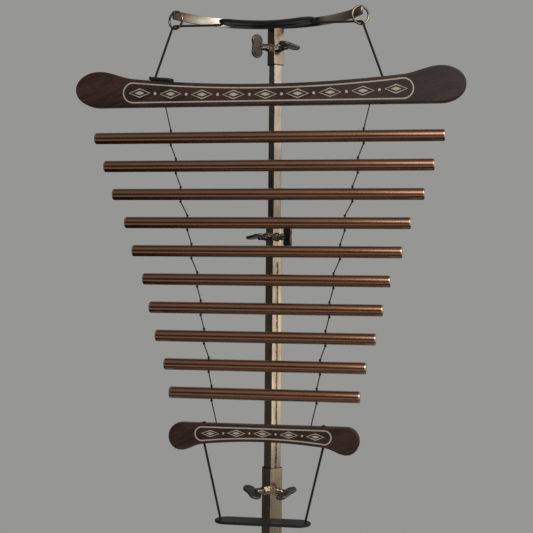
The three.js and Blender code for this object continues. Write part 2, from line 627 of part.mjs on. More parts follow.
// The adjuster: a flat plate with one round end, threaded on the left leg and lying on the top board
function addAdjuster() {
  const half = ADJUSTER_WIDTH / 2;
  const plan = new THREE.Shape();
  plan.moveTo(-ADJUSTER_HOLE_INSET, -half);
  plan.lineTo(ADJUSTER_LENGTH - ADJUSTER_HOLE_INSET - half, -half);
  plan.absarc(ADJUSTER_LENGTH - ADJUSTER_HOLE_INSET - half, 0, half, -Math.PI / 2, Math.PI / 2);
  plan.lineTo(-ADJUSTER_HOLE_INSET, half);
  const plate = new THREE.ExtrudeGeometry(plan, {
    depth: ADJUSTER_THICKNESS, bevelEnabled: false, curveSegments: CURVE_STEPS,
  });
  const holeDiameter = THICK_CORD + 2 * HOLE_GAP;
  const tailX = ADJUSTER_LENGTH - 2 * ADJUSTER_HOLE_INSET;
  const tailHole = drill(tailX, 0, -CUT_PAST, ADJUSTER_THICKNESS + CUT_PAST, holeDiameter);
  const slope = (2 * (TOP_BOARD.waistHeight - TOP_BOARD.middle) * LEG_X) / TOP_BOARD.waist ** 2;
  const seat = topBoardBase + boardHeight(TOP_BOARD, LEG_X) + 2 * SEAT_GAP;
  const placed = cut(plate, tailHole).rotateY(Math.atan(slope)).translate(-LEG_X, chimeY, seat);
  add('cord_adjuster', cut(placed, legDrill(SIDES.left, holeDiameter)), blackRubber);
}

// A drill along the straight stretch of a leg, from the board to the ring
function legDrill(side, diameter) {
  const stations = legStations(side);
  const [top, foot] = [stations[LEG_BEND.length - 1], stations[LEG_BEND.length]];
  const along = new THREE.Vector3(top[0] - foot[0], top[1] - foot[1], top[2] - foot[2]);
  const length = along.length();
  const turn = new THREE.Quaternion().setFromUnitVectors(new THREE.Vector3(0, 1, 0), along.normalize());
  const geometry = new THREE.CylinderGeometry(diameter / 2, diameter / 2, 2 * length, HOLE_SIDES);
  return geometry.applyQuaternion(turn).translate(foot[0], foot[1], foot[2]);
}

addPost();
addScrews();
addHanger();
addBoards();
addBars();
addThinCords();
addThickCords();
addHandles();
addAdjuster();

export default chime;
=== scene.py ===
"""Looks of the bar chime: finishes, braided cords, knots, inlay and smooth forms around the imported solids.

Metres, +Z up, +X along the bars, -Y towards the player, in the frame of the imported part.
"""

import json
import math

import bpy
import numpy as np
from mathutils import Matrix, Vector

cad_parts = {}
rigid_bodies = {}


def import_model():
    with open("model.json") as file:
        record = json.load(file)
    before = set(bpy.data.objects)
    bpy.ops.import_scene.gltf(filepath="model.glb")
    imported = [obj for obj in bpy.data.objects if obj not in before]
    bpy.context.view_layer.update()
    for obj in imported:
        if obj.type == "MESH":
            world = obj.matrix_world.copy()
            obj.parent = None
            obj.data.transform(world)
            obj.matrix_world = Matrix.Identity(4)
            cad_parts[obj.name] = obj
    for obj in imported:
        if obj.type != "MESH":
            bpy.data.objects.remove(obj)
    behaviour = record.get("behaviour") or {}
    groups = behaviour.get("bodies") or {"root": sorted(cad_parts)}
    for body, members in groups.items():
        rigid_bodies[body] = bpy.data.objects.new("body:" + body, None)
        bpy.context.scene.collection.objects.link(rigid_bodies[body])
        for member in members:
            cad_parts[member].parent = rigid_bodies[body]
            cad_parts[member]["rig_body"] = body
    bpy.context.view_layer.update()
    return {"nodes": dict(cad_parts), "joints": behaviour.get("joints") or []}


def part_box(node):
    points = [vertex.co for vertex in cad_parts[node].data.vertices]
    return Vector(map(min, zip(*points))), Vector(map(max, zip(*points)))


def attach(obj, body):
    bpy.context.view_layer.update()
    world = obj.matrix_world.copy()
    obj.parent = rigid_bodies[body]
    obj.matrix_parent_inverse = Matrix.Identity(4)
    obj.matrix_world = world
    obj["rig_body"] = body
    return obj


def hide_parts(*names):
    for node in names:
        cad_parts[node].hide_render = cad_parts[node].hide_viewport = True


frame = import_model()

# Sizes, counts and shares of the object
SIDES = {"left": -1, "right": 1}
SEAT_GAP = 0.0003
HOLE_GAP = 0.00045
UPPER_POST_SIDE = 0.011
MIDDLE_POST_SIDE = 0.014
LOWER_POST_SIDE = 0.017
POST_WALL = 0.0012
POST_EDGE = 0.00025
NUT_HEIGHT = 0.0045
GROOVE_TOP_DROP = 0.046
PIN_RADIUS = 0.0011
PIN_RISE = 0.0007
PIN_DROP = 0.0025
STRIP_HEIGHT = 0.010
STRIP_THICKNESS = 0.0025
STRIP_TIP_LENGTH = 0.0045
STRIP_TIP_ROUND = 0.0025
STRIP_EDGE = 0.0003
HANGER_HALF_SPAN = 0.103
HANGER_REACH = 0.062
RING_WIRE = 0.0026
RING_NOTCH_DEPTH = 0.0023
BAR_COUNT = 10
BAR_EDGE = 0.0011
BAR_EDGE_REACH = 0.0020
NODE_SHARE = 0.2242
BOARD_EDGE = 0.0013
BOARD_BLEND = 0.35
TOP_BOARD = {
    "half": 0.217, "lobe": 0.040, "lobe_start": 0.190,
    "waist": 0.150, "waist_height": 0.0312, "middle": 0.0235,
}
BOTTOM_BOARD = {
    "half": 0.106, "lobe": 0.030, "lobe_start": 0.092,
    "waist": 0.068, "waist_height": 0.0227, "middle": 0.0186,
}
THIN_CORD = 0.0013
THICK_CORD = 0.0026
THIN_KNOT = 0.0026
THIN_KNOT_FULL = 0.0029
THICK_KNOT = 0.005
TOP_BOARD_CORD_X = 0.1145
BOTTOM_BOARD_CORD_X = 0.053
LEG_X = 0.1275
LOOP_X = 0.0667
LOOP_KNOT_SINK = 0.0032
LOOP_CORD_GAP = 0.00075
HANDLE_HOLE_X = 0.047
HANDLE_THICKNESS = 0.0032
HANDLE_EDGE = 0.0012
TOP_HANDLE_BEND = 0.002
TOP_HANDLE_BOW = 0.0046
ADJUSTER_LENGTH = 0.027
ADJUSTER_WIDTH = 0.012
ADJUSTER_THICKNESS = 0.0034
ADJUSTER_HOLE_INSET = 0.0045
ADJUSTER_EDGE = 0.0008
TAIL_HOLE_REACH = 0.004
TAIL_HOLE_EDGE = 0.0001

# Wing screws: sizes, shares and the turn of each pair of wings in degrees
SCREW_DIAMETER = 0.005
SCREW_SOFT = 0.0006
HUB_DIAMETER = 0.0085
HUB_TIP = 0.007
HUB_LENGTH = 0.0105
HUB_COLLAR = 0.002
WING_SPAN = 0.027
WING_LOBE = 0.0145
WING_STANDOFF = 0.0145
WING_WAIST = 0.0124
WING_FLARE = 2.2
WING_THICKNESS = 0.0032
WING_WEB = 0.0028
WING_EDGE_SHARE = 0.3
WING_RIM = 0.24
WING_HUB_BLEND = (0.0035, 0.006)
SCREW_ROLLS = {
    "upper_left": 0, "upper_right": 170,
    "middle_left": 98, "middle_right": 90,
    "lower_left": 67, "lower_right": 23,
}

# Inlay: a frame line round a row of lozenges and dots
INLAY_LINE = 0.0014
INLAY_DEPTH = 0.0006
INLAY_PROUD = 0.00005
DOT_SHARE = 0.36
LOZENGE_LINE_SHARE = 0.85
LOZENGE_FILL_SHARE = 0.48
TOP_INLAY = {"inset": 0.0046, "pitch": 0.0178, "count": 8, "half_length": 0.0120, "half_height": 0.0046}
BOTTOM_INLAY = {"inset": 0.0038, "pitch": 0.0146, "count": 4, "half_length": 0.0097, "half_height": 0.0034}

# Cord routes: points given, from the handle plates' holes and from the rings
TOP_CORD_LYING = (0, 0.010, 0.020, 0.030, 0.038)
TOP_CORD_DIP = (-0.004, -0.0002)
TOP_CORD_RISE = ((0.005, 0.0003), (0.010, 0))
TOP_CORD_END = -0.0008
BOTTOM_CORD_BEND = ((-0.007, 0), (-0.0024, 0.001))
BOTTOM_CORD_RISE = (0.0012, 0.004)
LEG_BEND = (
    (-0.0016, 0.0001, 0), (0, -0.0002, 0), (0.0017, -0.0012, -0.0005),
    (0.0027, -0.0022, -0.0019), (0.0034, -0.0026, -0.0035),
)
LEG_STRAIGHT_SHARE = 0.06
CORNER_EASE = 0.0011

# Braid and knots: number of strands, and shares of the cord and the knot
BRAID_STRANDS = 4
BRAID_LAY = 0.9
BRAID_DEPTH = 0.17
BRAID_UNDER = 0.5
KNOT_MAJOR = 0.42
KNOT_MINOR = 0.28
KNOT_TUBE = 0.36
KNOT_STRETCH = 2.0

# Fineness of the meshes
SHARP_DEGREES = 40
CORD_SHARP_DEGREES = 70
INLAY_SHARP_DEGREES = 30
POST_SHARP_DEGREES = 38
POST_BEVEL_DEGREES = 50
POST_BEVEL_STEPS = 2
HOLE_SIDES = 24
HOLE_EDGE_SHARE = 0.05
NOTCH_SIDES = 32
NOTCH_EDGE_SHARE = 0.25
HUB_SIDES = 40
BAR_SIDES = 56
BAR_EDGE_STEPS = 6
PIN_STEPS = 6
STRIP_STEPS = 400
STRIP_CORNER_STEPS = 3
RING_STEPS = 96
RING_SIDES = 18
WING_POINTS = 14
WING_SHARES = (0.9, 0.78, 0.7, 0.5, 0.3, 0.1)
BOARD_SHARES = (0.96,)
PLATE_SHARES = (0.8, 0.6, 0.4, 0.2)
EDGE_STEPS = 4
ARC_POINTS = 20
EDGE_POINTS = 60
INLAY_CAP_POINTS = 18
DOT_POINTS = 24
HANDLE_POINTS = 40
ADJUSTER_END_STEPS = 8
ADJUSTER_SIDE_STEPS = 12
ROUTE_STEPS = 24
BRAID_SIDES = 24
BRAID_RINGS = 6
KNOT_STEPS = 72
KNOT_SIDES = 10
TUBE_SIDES = 16
TUBE_SPACING = 0.001

# Finishes: tones as red, green and blue, how far they reach, and their noise
# Painted shade: a near-black tone laid on the tubes where shade falls
PAINTED_SHADE_TONE = (0.035, 0.026, 0.018)
# Painted highlight: the pale tone of the nuts
NUT_HIGHLIGHT_TONE = (0.74, 0.66, 0.54)
LOWER_TONE = (0.53, 0.41, 0.285)
MIDDLE_TONE = (0.50, 0.40, 0.29)
UPPER_TONE = (0.435, 0.37, 0.305)
SOCKET_TONE = (0.315, 0.25, 0.188)
# Painted shade on the tubes round the middle tube's end, standing for the bars' shadow and reflection: how
# much thinner it is in the pale clouds, then for each tube how far it is full and gone, and its share
PAINTED_SHADE_THIN = 0.7
UPPER_PAINTED_SHADE = (0.035, 0.100, 0.68)
MIDDLE_PAINTED_SHADE = (0.070, 0.125, 0.38)
# Painted shade at a tube's end where the next part meets it: how far it is full and gone
SHADED_END_REACH = (0.0005, 0.0011)
GROOVE_REACH = (0.0009, 0.0026)
STRIP_TONE = (0.70, 0.625, 0.535)
STRIP_END_TONE = (0.19, 0.142, 0.102)
# Painted shade on the strip behind the handle plate
STRIP_SHADE_TONE = (0.055, 0.045, 0.036)
STRIP_BRIGHT_REACH = (0.072, 0.098)
# How far the painted shade behind the handle plate is full and gone
STRIP_SHADE_REACH = (0.050, 0.060)
# Painted highlight round the bars' ends: the range of face tilts that gets the paler metal
GLINT_TILT = (0.2, 0.95)
# Painted sheen greying the boards towards the right: where it starts and where it is full, then its share
PAINTED_SHEEN_REACH = (0.02, 0.20)
PAINTED_SHEEN_SHARE = 0.4
GRAIN_SLANT = 0.35
NOISE_LOW = 0.3
NOISE_HIGH = 0.7

# Directions
UP = (0, 0, 1)
RIGHT = (1, 0, 0)
BACK = (0, 1, 0)
ACROSS_START = (0.3, 0.9, 0.2)
HALF_ROOT = 0.70711
LEFT_FACE = (-HALF_ROOT, -HALF_ROOT, 0)
RIGHT_FACE = (HALF_ROOT, -HALF_ROOT, 0)

# Stage and camera
FLOOR_RADIUS = 0.25
FLOOR_STEPS = 96
FLOOR_TONE = (0.62, 0.62, 0.60)
FLOOR_ROUGHNESS = 0.8
WALL_TONE = (0.305, 0.305, 0.296)
CAMERA_AZIMUTH = 9.7
CAMERA_PLACE = (0.215, -1.3085, 0.3817)
CAMERA_ROLL = 0.5
FOCAL_PIXELS = 1150
FRAME_PIXELS = 533
SENSOR_MM = 36

# Lights: place, target, size, power and colour of each
KEY_COLOR = (1.0, 0.97, 0.94)
CARD_COLOR = (1.0, 0.96, 0.92)
FRONT_COLOR = (1.0, 0.98, 0.95)
LIT_MIDDLE = (0, -0.04, 0.40)
LIGHTS = {
    "key": ((0.897, -1.622, 1.45), LIT_MIDDLE, (1.9, 1.1), 28, KEY_COLOR),
    "right_card": ((1.7, -0.25, 0.55), LIT_MIDDLE, (0.9, 1.3), 4.9, CARD_COLOR),
    "front_left": ((-0.81, -1.60, 1.49), (-0.81, -0.04, 0.40), (1.02, 1.6), 0.7, FRONT_COLOR),
    "front_high": ((0.05, -1.13, 1.956), (0.05, -0.04, 0.40), (0.7, 1.3), 0.6, FRONT_COLOR),
    "front_low": ((-0.34, -1.213, -0.452), LIT_MIDDLE, (1.6, 0.75), 1.45, FRONT_COLOR),
}

# Dark cards: centre, direction they face, half width, half height and grey level of each
FLAGS = {
    "left_flag": ((-1.3, -0.1, 0.4), RIGHT, 1.1, 1.0, 0.14),
    "front_flag": ((-1.0, -2.6, 0.6), BACK, 1.2, 1.0, 0.1),
    "low_flag": ((0, 0.4, -0.55), UP, 1.5, 1.4, 0.012),
}

# Places taken from the frame
chime_y = -HANGER_REACH
bar_boxes = [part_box(f"bar_{number}") for number in range(1, BAR_COUNT + 1)]
bar_radius = (bar_boxes[0][1].z - bar_boxes[0][0].z) / 2
bar_lengths = [high.x - low.x for low, high in bar_boxes]
bar_x = [length * (0.5 - NODE_SHARE) for length in bar_lengths]
bar_z = [(low.z + high.z) / 2 for low, high in bar_boxes]
board_low, board_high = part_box("top_board")
top_board_base = board_low.z
board_half_thickness = (board_high.y - board_low.y) / 2
bottom_board_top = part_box("bottom_board")[1].z
middle_post_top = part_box("middle_post")[1].z
groove_top = middle_post_top - GROOVE_TOP_DROP
strip_base, strip_top = (corner.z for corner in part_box("hanger_bar"))
strip_radius = (HANGER_HALF_SPAN ** 2 + HANGER_REACH ** 2) / (2 * HANGER_REACH)
ring_angle = math.asin(HANGER_HALF_SPAN / strip_radius)
ring_low, ring_high = (corner.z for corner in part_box("left_ring"))
ring_z = (ring_low + ring_high) / 2
ring_radius = (ring_high - ring_low - RING_WIRE) / 2
hang_z = ring_low + RING_WIRE + SEAT_GAP + THICK_CORD / 2
top_handle_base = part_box("top_handle")[0].z
handle_low, handle_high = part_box("bottom_handle")
bottom_handle_top = handle_high.z
handle_half_length = handle_high.x
handle_half_width = (handle_high.y - handle_low.y) / 2


# Meshes

def smooth(piece, sharp_degrees):
    for polygon in piece.data.polygons:
        polygon.use_smooth = True
    piece.data.set_sharp_from_angle(angle=math.radians(sharp_degrees))
    piece.data.update()


def in_scene(name, data):
    item = bpy.data.objects.new(name, data)
    bpy.context.scene.collection.objects.link(item)
    return item


def mesh_object(name, points, faces, sharp_degrees=SHARP_DEGREES):
    mesh = bpy.data.meshes.new(name)
    mesh.from_pydata(points, [], faces)
    piece = in_scene(name, mesh)
    smooth(piece, sharp_degrees)
    return piece


def give(piece, *materials):
    for material in materials:
        piece.data.materials.append(material)


def ride_on(piece, node, *materials):
    """The piece takes materials and rides on a node's body."""
    give(piece, *materials)
    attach(piece, frame["nodes"][node]["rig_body"])


def stand_for(piece, node, *materials):
    """The piece takes the place and the body of a node."""
    ride_on(piece, node, *materials)
    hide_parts(node)
    return piece


def boolean(piece, cutters, operation):
    """Cuts or joins helper pieces into a piece and removes them."""
    for cutter in cutters:
        modifier = piece.modifiers.new("boolean", "BOOLEAN")
        modifier.operation = operation
        modifier.solver = "EXACT"
        modifier.object = cutter
    graph = bpy.context.evaluated_depsgraph_get()
    mesh = bpy.data.meshes.new_from_object(piece.evaluated_get(graph))
    piece.modifiers.clear()
    piece.data = mesh
    for cutter in cutters:
        bpy.data.objects.remove(cutter)
    smooth(piece, SHARP_DEGREES)
    return piece


def turned(piece, matrix):
    piece.data.transform(matrix)
    return piece


def shift(x, y, z):
    return Matrix.Translation((x, y, z))


def spin(angle, axis):
    return Matrix.Rotation(angle, 4, axis)


def circle(radius, count, x=0, y=0):
    turns = [2 * math.pi * step / count for step in range(count)]
    return [(x + radius * math.cos(turn), y + radius * math.sin(turn)) for turn in turns]


def arc(x, y, across, up, start, count):
    """Points on half an ellipse about (x, y), from a start counted in half turns."""
    turns = [math.pi * (step / count + start) for step in range(count + 1)]
    return [(x + across * math.cos(turn), y + up * math.sin(turn)) for turn in turns]


def waisted(half_length, half_width, waist, count):
    """Round-ended outline with long sides drawn in to a waist, and the ends of its middle line."""
    reach = half_length - half_width
    outline = []
    for side in (1, -1):
        outline += arc(side * reach, 0, half_width, half_width, -0.5 * side, count)
        for step in range(1, count):
            x = side * reach * (1 - 2 * step / count)
            outline.append((x, side * (waist + (half_width - waist) * (abs(x) / reach) ** WING_FLARE)))
    return outline, (-reach, reach)


def quarter(steps):
    return [math.pi / 2 * step / steps for step in range(steps + 1)]


def ring_faces(rings, sides, closed=False):
    """Quads between rings of points laid one after the other."""
    faces = []
    for ring in range(rings if closed else rings - 1):
        here = ring * sides
        there = (ring + 1) % rings * sides
        for side in range(sides):
            beside = (side + 1) % sides
            faces.append((here + side, here + beside, there + beside, there + side))
    return faces


def capped_faces(rings, sides):
    """Quads between rings of points and a face at either end."""
    last = (rings - 1) * sides
    return [*ring_faces(rings, sides), tuple(reversed(range(sides))), tuple(range(last, last + sides))]


def lathe(profile, sides):
    """Points and faces of a profile of (radius, height) turned about Z, with both ends on the axis."""
    points = [(x, y, height) for radius, height in profile[1:-1] for x, y in circle(radius, sides)]
    rings = len(profile) - 2
    faces = ring_faces(rings, sides)
    first, last = len(points), len(points) + 1
    points += [(0, 0, profile[0][1]), (0, 0, profile[-1][1])]
    top = (rings - 1) * sides
    for side in range(sides):
        beside = (side + 1) % sides
        faces += [(first, beside, side), (last, top + side, top + beside)]
    return points, faces


def rod(name, sides, half_length, radius, edge, steps=1, stops=(), reach=None):
    """A rod about Z with rings at the stops and edges rounded over a reach along it."""
    reach = reach or edge
    corner = [
        (radius - edge + edge * math.sin(turn), half_length - reach + reach * math.cos(turn))
        for turn in quarter(steps)
    ]
    low = [(across, -height) for across, height in corner]
    rings = [(radius, stop) for stop in sorted(stops)]
    profile = [(0, -half_length), *low, *rings, *reversed(corner), (0, half_length)]
    return mesh_object(name, *lathe(profile, sides))


def slab(outline, ends, half_thickness, edge, shares=PLATE_SHARES, relief=None, middle_y=0):
    """Points and faces of a plate in XY with rounded edges, drawn in to a line along X between two ends.

    The shares of that way place the inner loops, and relief(point, share) gives the share of thickness left.
    """
    def loop(share, inset, height):
        points = []
        for rim in outline:
            middle = Vector((max(ends[0], min(ends[1], rim[0])), middle_y))
            way = Vector(rim) - middle
            reach = max(way.length - inset, 0) * share
            place = middle + way.normalized() * reach
            left = relief(place, share) if relief else 1
            points.append((*place, height * left))
        return points

    upper = []
    for turn in quarter(EDGE_STEPS):
        upper.append(loop(1, edge * (1 - math.cos(turn)), half_thickness - edge * (1 - math.sin(turn))))
    upper += [loop(share, edge, half_thickness) for share in shares]
    lower = [[(x, y, -z) for x, y, z in points] for points in reversed(upper)]
    loops = lower + upper
    return [point for points in loops for point in points], capped_faces(len(loops), len(outline))


def joined(*parts):
    """Several sets of points and faces as one."""
    points, faces = [], []
    for more_points, more_faces in parts:
        start = len(points)
        points += more_points
        faces += [tuple(start + corner for corner in face) for face in more_faces]
    return points, faces


# Cords

def between(t, start, end, first, second):
    return (end - t) / (end - start) * first + (t - start) / (end - start) * second


def smooth_route(points, spacing):
    """Evenly spaced points on a smooth curve through the given ones, and how far along it they are."""
    points = [np.array(point, float) for point in points]
    padded = [2 * points[0] - points[1], *points, 2 * points[-1] - points[-2]]
    fine = []
    for a, b, c, d in zip(padded, padded[1:], padded[2:], padded[3:]):
        steps = [np.linalg.norm(q - p) ** 0.5 for p, q in ((a, b), (b, c), (c, d))]
        at_a, at_b, at_c, at_d = np.cumsum([0, *steps])
        for t in np.linspace(at_b, at_c, ROUTE_STEPS, endpoint=False):
            bc = between(t, at_b, at_c, b, c)
            abc = between(t, at_a, at_c, between(t, at_a, at_b, a, b), bc)
            bcd = between(t, at_b, at_d, bc, between(t, at_c, at_d, c, d))
            fine.append(between(t, at_b, at_c, abc, bcd))
    fine = np.array([*fine, points[-1]])
    far = np.concatenate([[0], np.cumsum(np.linalg.norm(np.diff(fine, axis=0), axis=1))])
    count = max(int(far[-1] / spacing), 2) + 1
    places = np.linspace(0, far[-1], count)
    return np.column_stack([np.interp(places, far, fine[:, axis]) for axis in range(3)]), places


def taut(points):
    """A pulled route: straight between its points, with a short bend at each."""
    points = [Vector(point) for point in points]
    route = [points[0]]
    for before, corner, after in zip(points, points[1:], points[2:]):
        come, go = (corner - before).normalized(), (after - corner).normalized()
        route += [corner - 2 * CORNER_EASE * come, corner - CORNER_EASE * come]
        route += [corner + CORNER_EASE * go, corner + 2 * CORNER_EASE * go]
    return [*route, points[-1]]


def unit(rows):
    return rows / np.linalg.norm(rows, axis=1)[:, None]


def carried_frames(route):
    """Two directions across a route at each of its points, carried along without twist."""
    tangents = unit(np.gradient(route, axis=0))
    first = np.cross(tangents[0], ACROSS_START)
    firsts = []
    for tangent in tangents:
        first = first - tangent * np.dot(first, tangent)
        first = first / np.linalg.norm(first)
        firsts.append(first)
    return np.array(firsts), np.cross(tangents, firsts)


def swept(centres, firsts, seconds, radius, sides):
    """Rings of points round centres, with one radius or a radius for each point."""
    angles = 2 * math.pi * np.arange(sides) / sides
    cosines, sines = np.cos(angles)[None, :, None], np.sin(angles)[None, :, None]
    around = cosines * firsts[:, None, :] + sines * seconds[:, None, :]
    return (centres[:, None, :] + radius * around).reshape(-1, 3)


def braided(points, diameter):
    """Points and faces of a round braid of over and under strands along a route."""
    lay = diameter * BRAID_LAY
    route, places = smooth_route(points, lay / BRAID_RINGS)
    turns = BRAID_STRANDS * np.arange(BRAID_SIDES)[None, :] / BRAID_SIDES
    climb = places[:, None] / lay
    one, other = turns + climb, turns - climb
    crown_one, crown_other = (np.sqrt(1 - (2 * (lead % 1) - 1) ** 2) for lead in (one, other))
    one_over = np.maximum(crown_one, BRAID_UNDER * crown_other)
    other_over = np.maximum(crown_other, BRAID_UNDER * crown_one)
    crown = np.where((np.floor(one) + np.floor(other)) % 2 == 0, one_over, other_over)
    radius = diameter / 2 * (1 - BRAID_DEPTH + BRAID_DEPTH * crown)
    rings = swept(route, *carried_frames(route), radius[:, :, None], BRAID_SIDES)
    return rings.tolist(), capped_faces(len(route), BRAID_SIDES)


def plain_tube(points, diameter):
    route, _ = smooth_route(points, TUBE_SPACING)
    rings = swept(route, *carried_frames(route), diameter / 2, TUBE_SIDES)
    return rings.tolist(), capped_faces(len(route), TUBE_SIDES)


def overhand_knot(centre, diameter, turn):
    """Points and faces of a tight overhand knot: a cord wound three times through itself."""
    half = diameter / 2
    major, minor = KNOT_MAJOR * half, KNOT_MINOR * half
    t = np.linspace(0, 2 * math.pi, KNOT_STEPS, endpoint=False)
    core = np.column_stack([np.cos(2 * t), np.sin(2 * t), 0 * t])
    up = np.array([0, 0, KNOT_STRETCH])
    centres = core * (major + minor * np.cos(3 * t))[:, None] + up * (minor * np.sin(3 * t))[:, None]
    tangents = unit(np.roll(centres, -1, axis=0) - np.roll(centres, 1, axis=0))
    firsts = centres - core * major
    firsts = unit(firsts - tangents * np.sum(firsts * tangents, axis=1)[:, None])
    rings = swept(centres, firsts, np.cross(tangents, firsts), KNOT_TUBE * half, KNOT_SIDES)
    spun = np.array(Matrix.Rotation(turn, 3, "Z"))
    return (rings @ spun.T + np.array(centre)).tolist(), ring_faces(KNOT_STEPS, KNOT_SIDES, closed=True)


# Materials

def rgba(tone):
    """A colour of red, green and blue, or a grey level, with full alpha."""
    return (*tone, 1) if isinstance(tone, tuple) else (tone, tone, tone, 1)


def fill(node, inputs):
    """Sets a node's inputs to values or links them to other nodes' sockets."""
    for name, value in inputs.items():
        target = node.inputs[name]
        if isinstance(value, bpy.types.NodeSocket):
            node.id_data.links.new(value, target)
        else:
            target.default_value = rgba(value) if target.type == "RGBA" else value


def made(tree, kind, inputs=(), output=0, **settings):
    """An output of a new node."""
    node = tree.nodes.new(kind)
    for name, value in settings.items():
        setattr(node, name, value)
    fill(node, dict(inputs))
    return node.outputs[output]


def finished(name, look, *values):
    """A material with the inputs that a look gives its shader, named with _ for a space."""
    material = bpy.data.materials.new(name)
    material.use_nodes = True
    tree = material.node_tree
    inputs = look(tree, *values)
    fill(tree.nodes["Principled BSDF"], {key.replace("_", " "): value for key, value in inputs.items()})
    return material


def ramp(factor, *stops):
    """Colours or grey levels at positions of a factor."""
    color = made(factor.id_data, "ShaderNodeValToRGB", {"Fac": factor})
    elements = color.node.color_ramp.elements
    elements[0].position, elements[1].position = stops[0][0], stops[-1][0]
    for position, _ in stops[1:-1]:
        elements.new(position)
    for element, (_, tone) in zip(elements, stops):
        element.color = rgba(tone)
    return color


def toned(factor, low, high):
    """Two colours or grey levels over the middle of a noise."""
    return ramp(factor, (NOISE_LOW, low), (NOISE_HIGH, high))


def shade(color, share):
    return tuple(share * part for part in color)


def place_in_frame(tree):
    return made(tree, "ShaderNodeTexCoord", output="Object")


def noise(tree, scale, detail=4, roughness=0.55, distortion=0, slant=0):
    """Noise in the frame's own coordinates, turned by slant about Y, with its own scale along each axis."""
    turn = made(tree, "ShaderNodeMapping", {"Vector": place_in_frame(tree), "Rotation": (0, slant, 0)})
    return made(tree, "ShaderNodeTexNoise", {
        "Vector": made(tree, "ShaderNodeMapping", {"Vector": turn, "Scale": scale}), "Scale": 1,
        "Detail": detail, "Roughness": roughness, "Distortion": distortion,
    }, "Fac")


def mix(factor, first, second):
    """The second colour over the first one, where the factor or the first comes from a node."""
    known = factor if isinstance(factor, bpy.types.NodeSocket) else first
    return made(known.id_data, "ShaderNodeMix", {0: factor, 6: first, 7: second}, 2, data_type="RGBA")


def bump(height, strength, distance):
    inputs = {"Height": height, "Strength": strength, "Distance": distance}
    return made(height.id_data, "ShaderNodeBump", inputs)


def calculated(operation, *values):
    return made(values[0].id_data, "ShaderNodeMath", dict(enumerate(values)), operation=operation)


def along(tree, direction):
    """How far a point of the frame lies along a direction."""
    inputs = {0: place_in_frame(tree), 1: direction}
    return made(tree, "ShaderNodeVectorMath", inputs, "Value", operation="DOT_PRODUCT")


def ranged(value, start, end, low, high):
    """low where a value is at start, changing to high at end."""
    inputs = {"Value": value, "From Min": start, "From Max": end, "To Min": low, "To Max": high}
    return made(value.id_data, "ShaderNodeMapRange", inputs)


def near(value, centre, full, none):
    """1 where a value is within full of centre, falling to 0 at none."""
    return ranged(calculated("ABSOLUTE", calculated("SUBTRACT", value, centre)), full, none, 1, 0)


def product(first, *others):
    for other in others:
        first = calculated("MULTIPLY", first, other)
    return first


def outside(tree, half_side):
    """1 where a point stands out of the two front faces of a square tube, as the nuts do."""
    farther = calculated("MAXIMUM", along(tree, LEFT_FACE), along(tree, RIGHT_FACE))
    return calculated("GREATER_THAN", farther, half_side + SEAT_GAP)


def groove_dirt_and_shade(tree):
    """How much painted shade and dirt a point of the groove in a tube's right front face gets."""
    spots = ramp(noise(tree, (300, 300, 240), detail=3), (0.40, 0.25), (0.62, 0.8))
    across = near(along(tree, LEFT_FACE), 0, *GROOVE_REACH)
    front = calculated("GREATER_THAN", along(tree, RIGHT_FACE), 0)
    below = calculated("LESS_THAN", along(tree, UP), groove_top)
    return product(spots, across, front, below)


def tube_look(tree, tone, side, dark_end=None, painted_shade=None, grooved=False):
    """Drawn tube: lines along Z, clouded plating, nuts painted pale as a highlight, painted shade at the end
    that meets the next part, and painted shade with dirt spots along the groove in front.

    The painted shade round the middle tube's end stands for the bars' shadow and reflection; its argument is
    how far from that end it is full and gone, and its share.
    """
    height = along(tree, UP)
    drawn = noise(tree, (2600, 2600, 9), detail=3)
    lanes = noise(tree, (620, 620, 3), detail=2)
    cloud = noise(tree, (70, 70, 26), detail=5, roughness=0.62)
    color = ramp(cloud, (0.36, shade(tone, 0.52)), (0.55, tone), (0.75, shade(tone, 1.15)))
    color = mix(ramp(lanes, (0.35, 0.75), (0.6, 0)), color, shade(tone, 0.6))
    color = mix(ramp(drawn, (0.4, 0.5), (0.6, 0)), color, shade(tone, 0.72))
    # Painted shade round the middle tube's end, in patches, standing for the bars' shadow and reflection
    if painted_shade:
        full, none, share = painted_shade
        shade_patches = ramp(cloud, (0.35, share), (0.7, PAINTED_SHADE_THIN * share))
        color = mix(product(shade_patches, near(height, middle_post_top, full, none)), color, PAINTED_SHADE_TONE)
    # Painted highlight: the nuts, which stand out of the front faces, are painted pale
    color = mix(outside(tree, side / 2), color, NUT_HIGHLIGHT_TONE)
    # Painted shade: a dark line at the tube's end, where the next part meets it
    if dark_end is not None:
        color = mix(near(height, dark_end, *SHADED_END_REACH), color, PAINTED_SHADE_TONE)
    # Painted shade and dirt spots along the groove
    if grooved:
        color = mix(groove_dirt_and_shade(tree), color, PAINTED_SHADE_TONE)
    roughness = ramp(cloud, (0.25, 0.22), (0.75, 0.14))
    return dict(Metallic=1, Base_Color=color, Roughness=roughness, Normal=bump(drawn, 0.04, 0.0001))


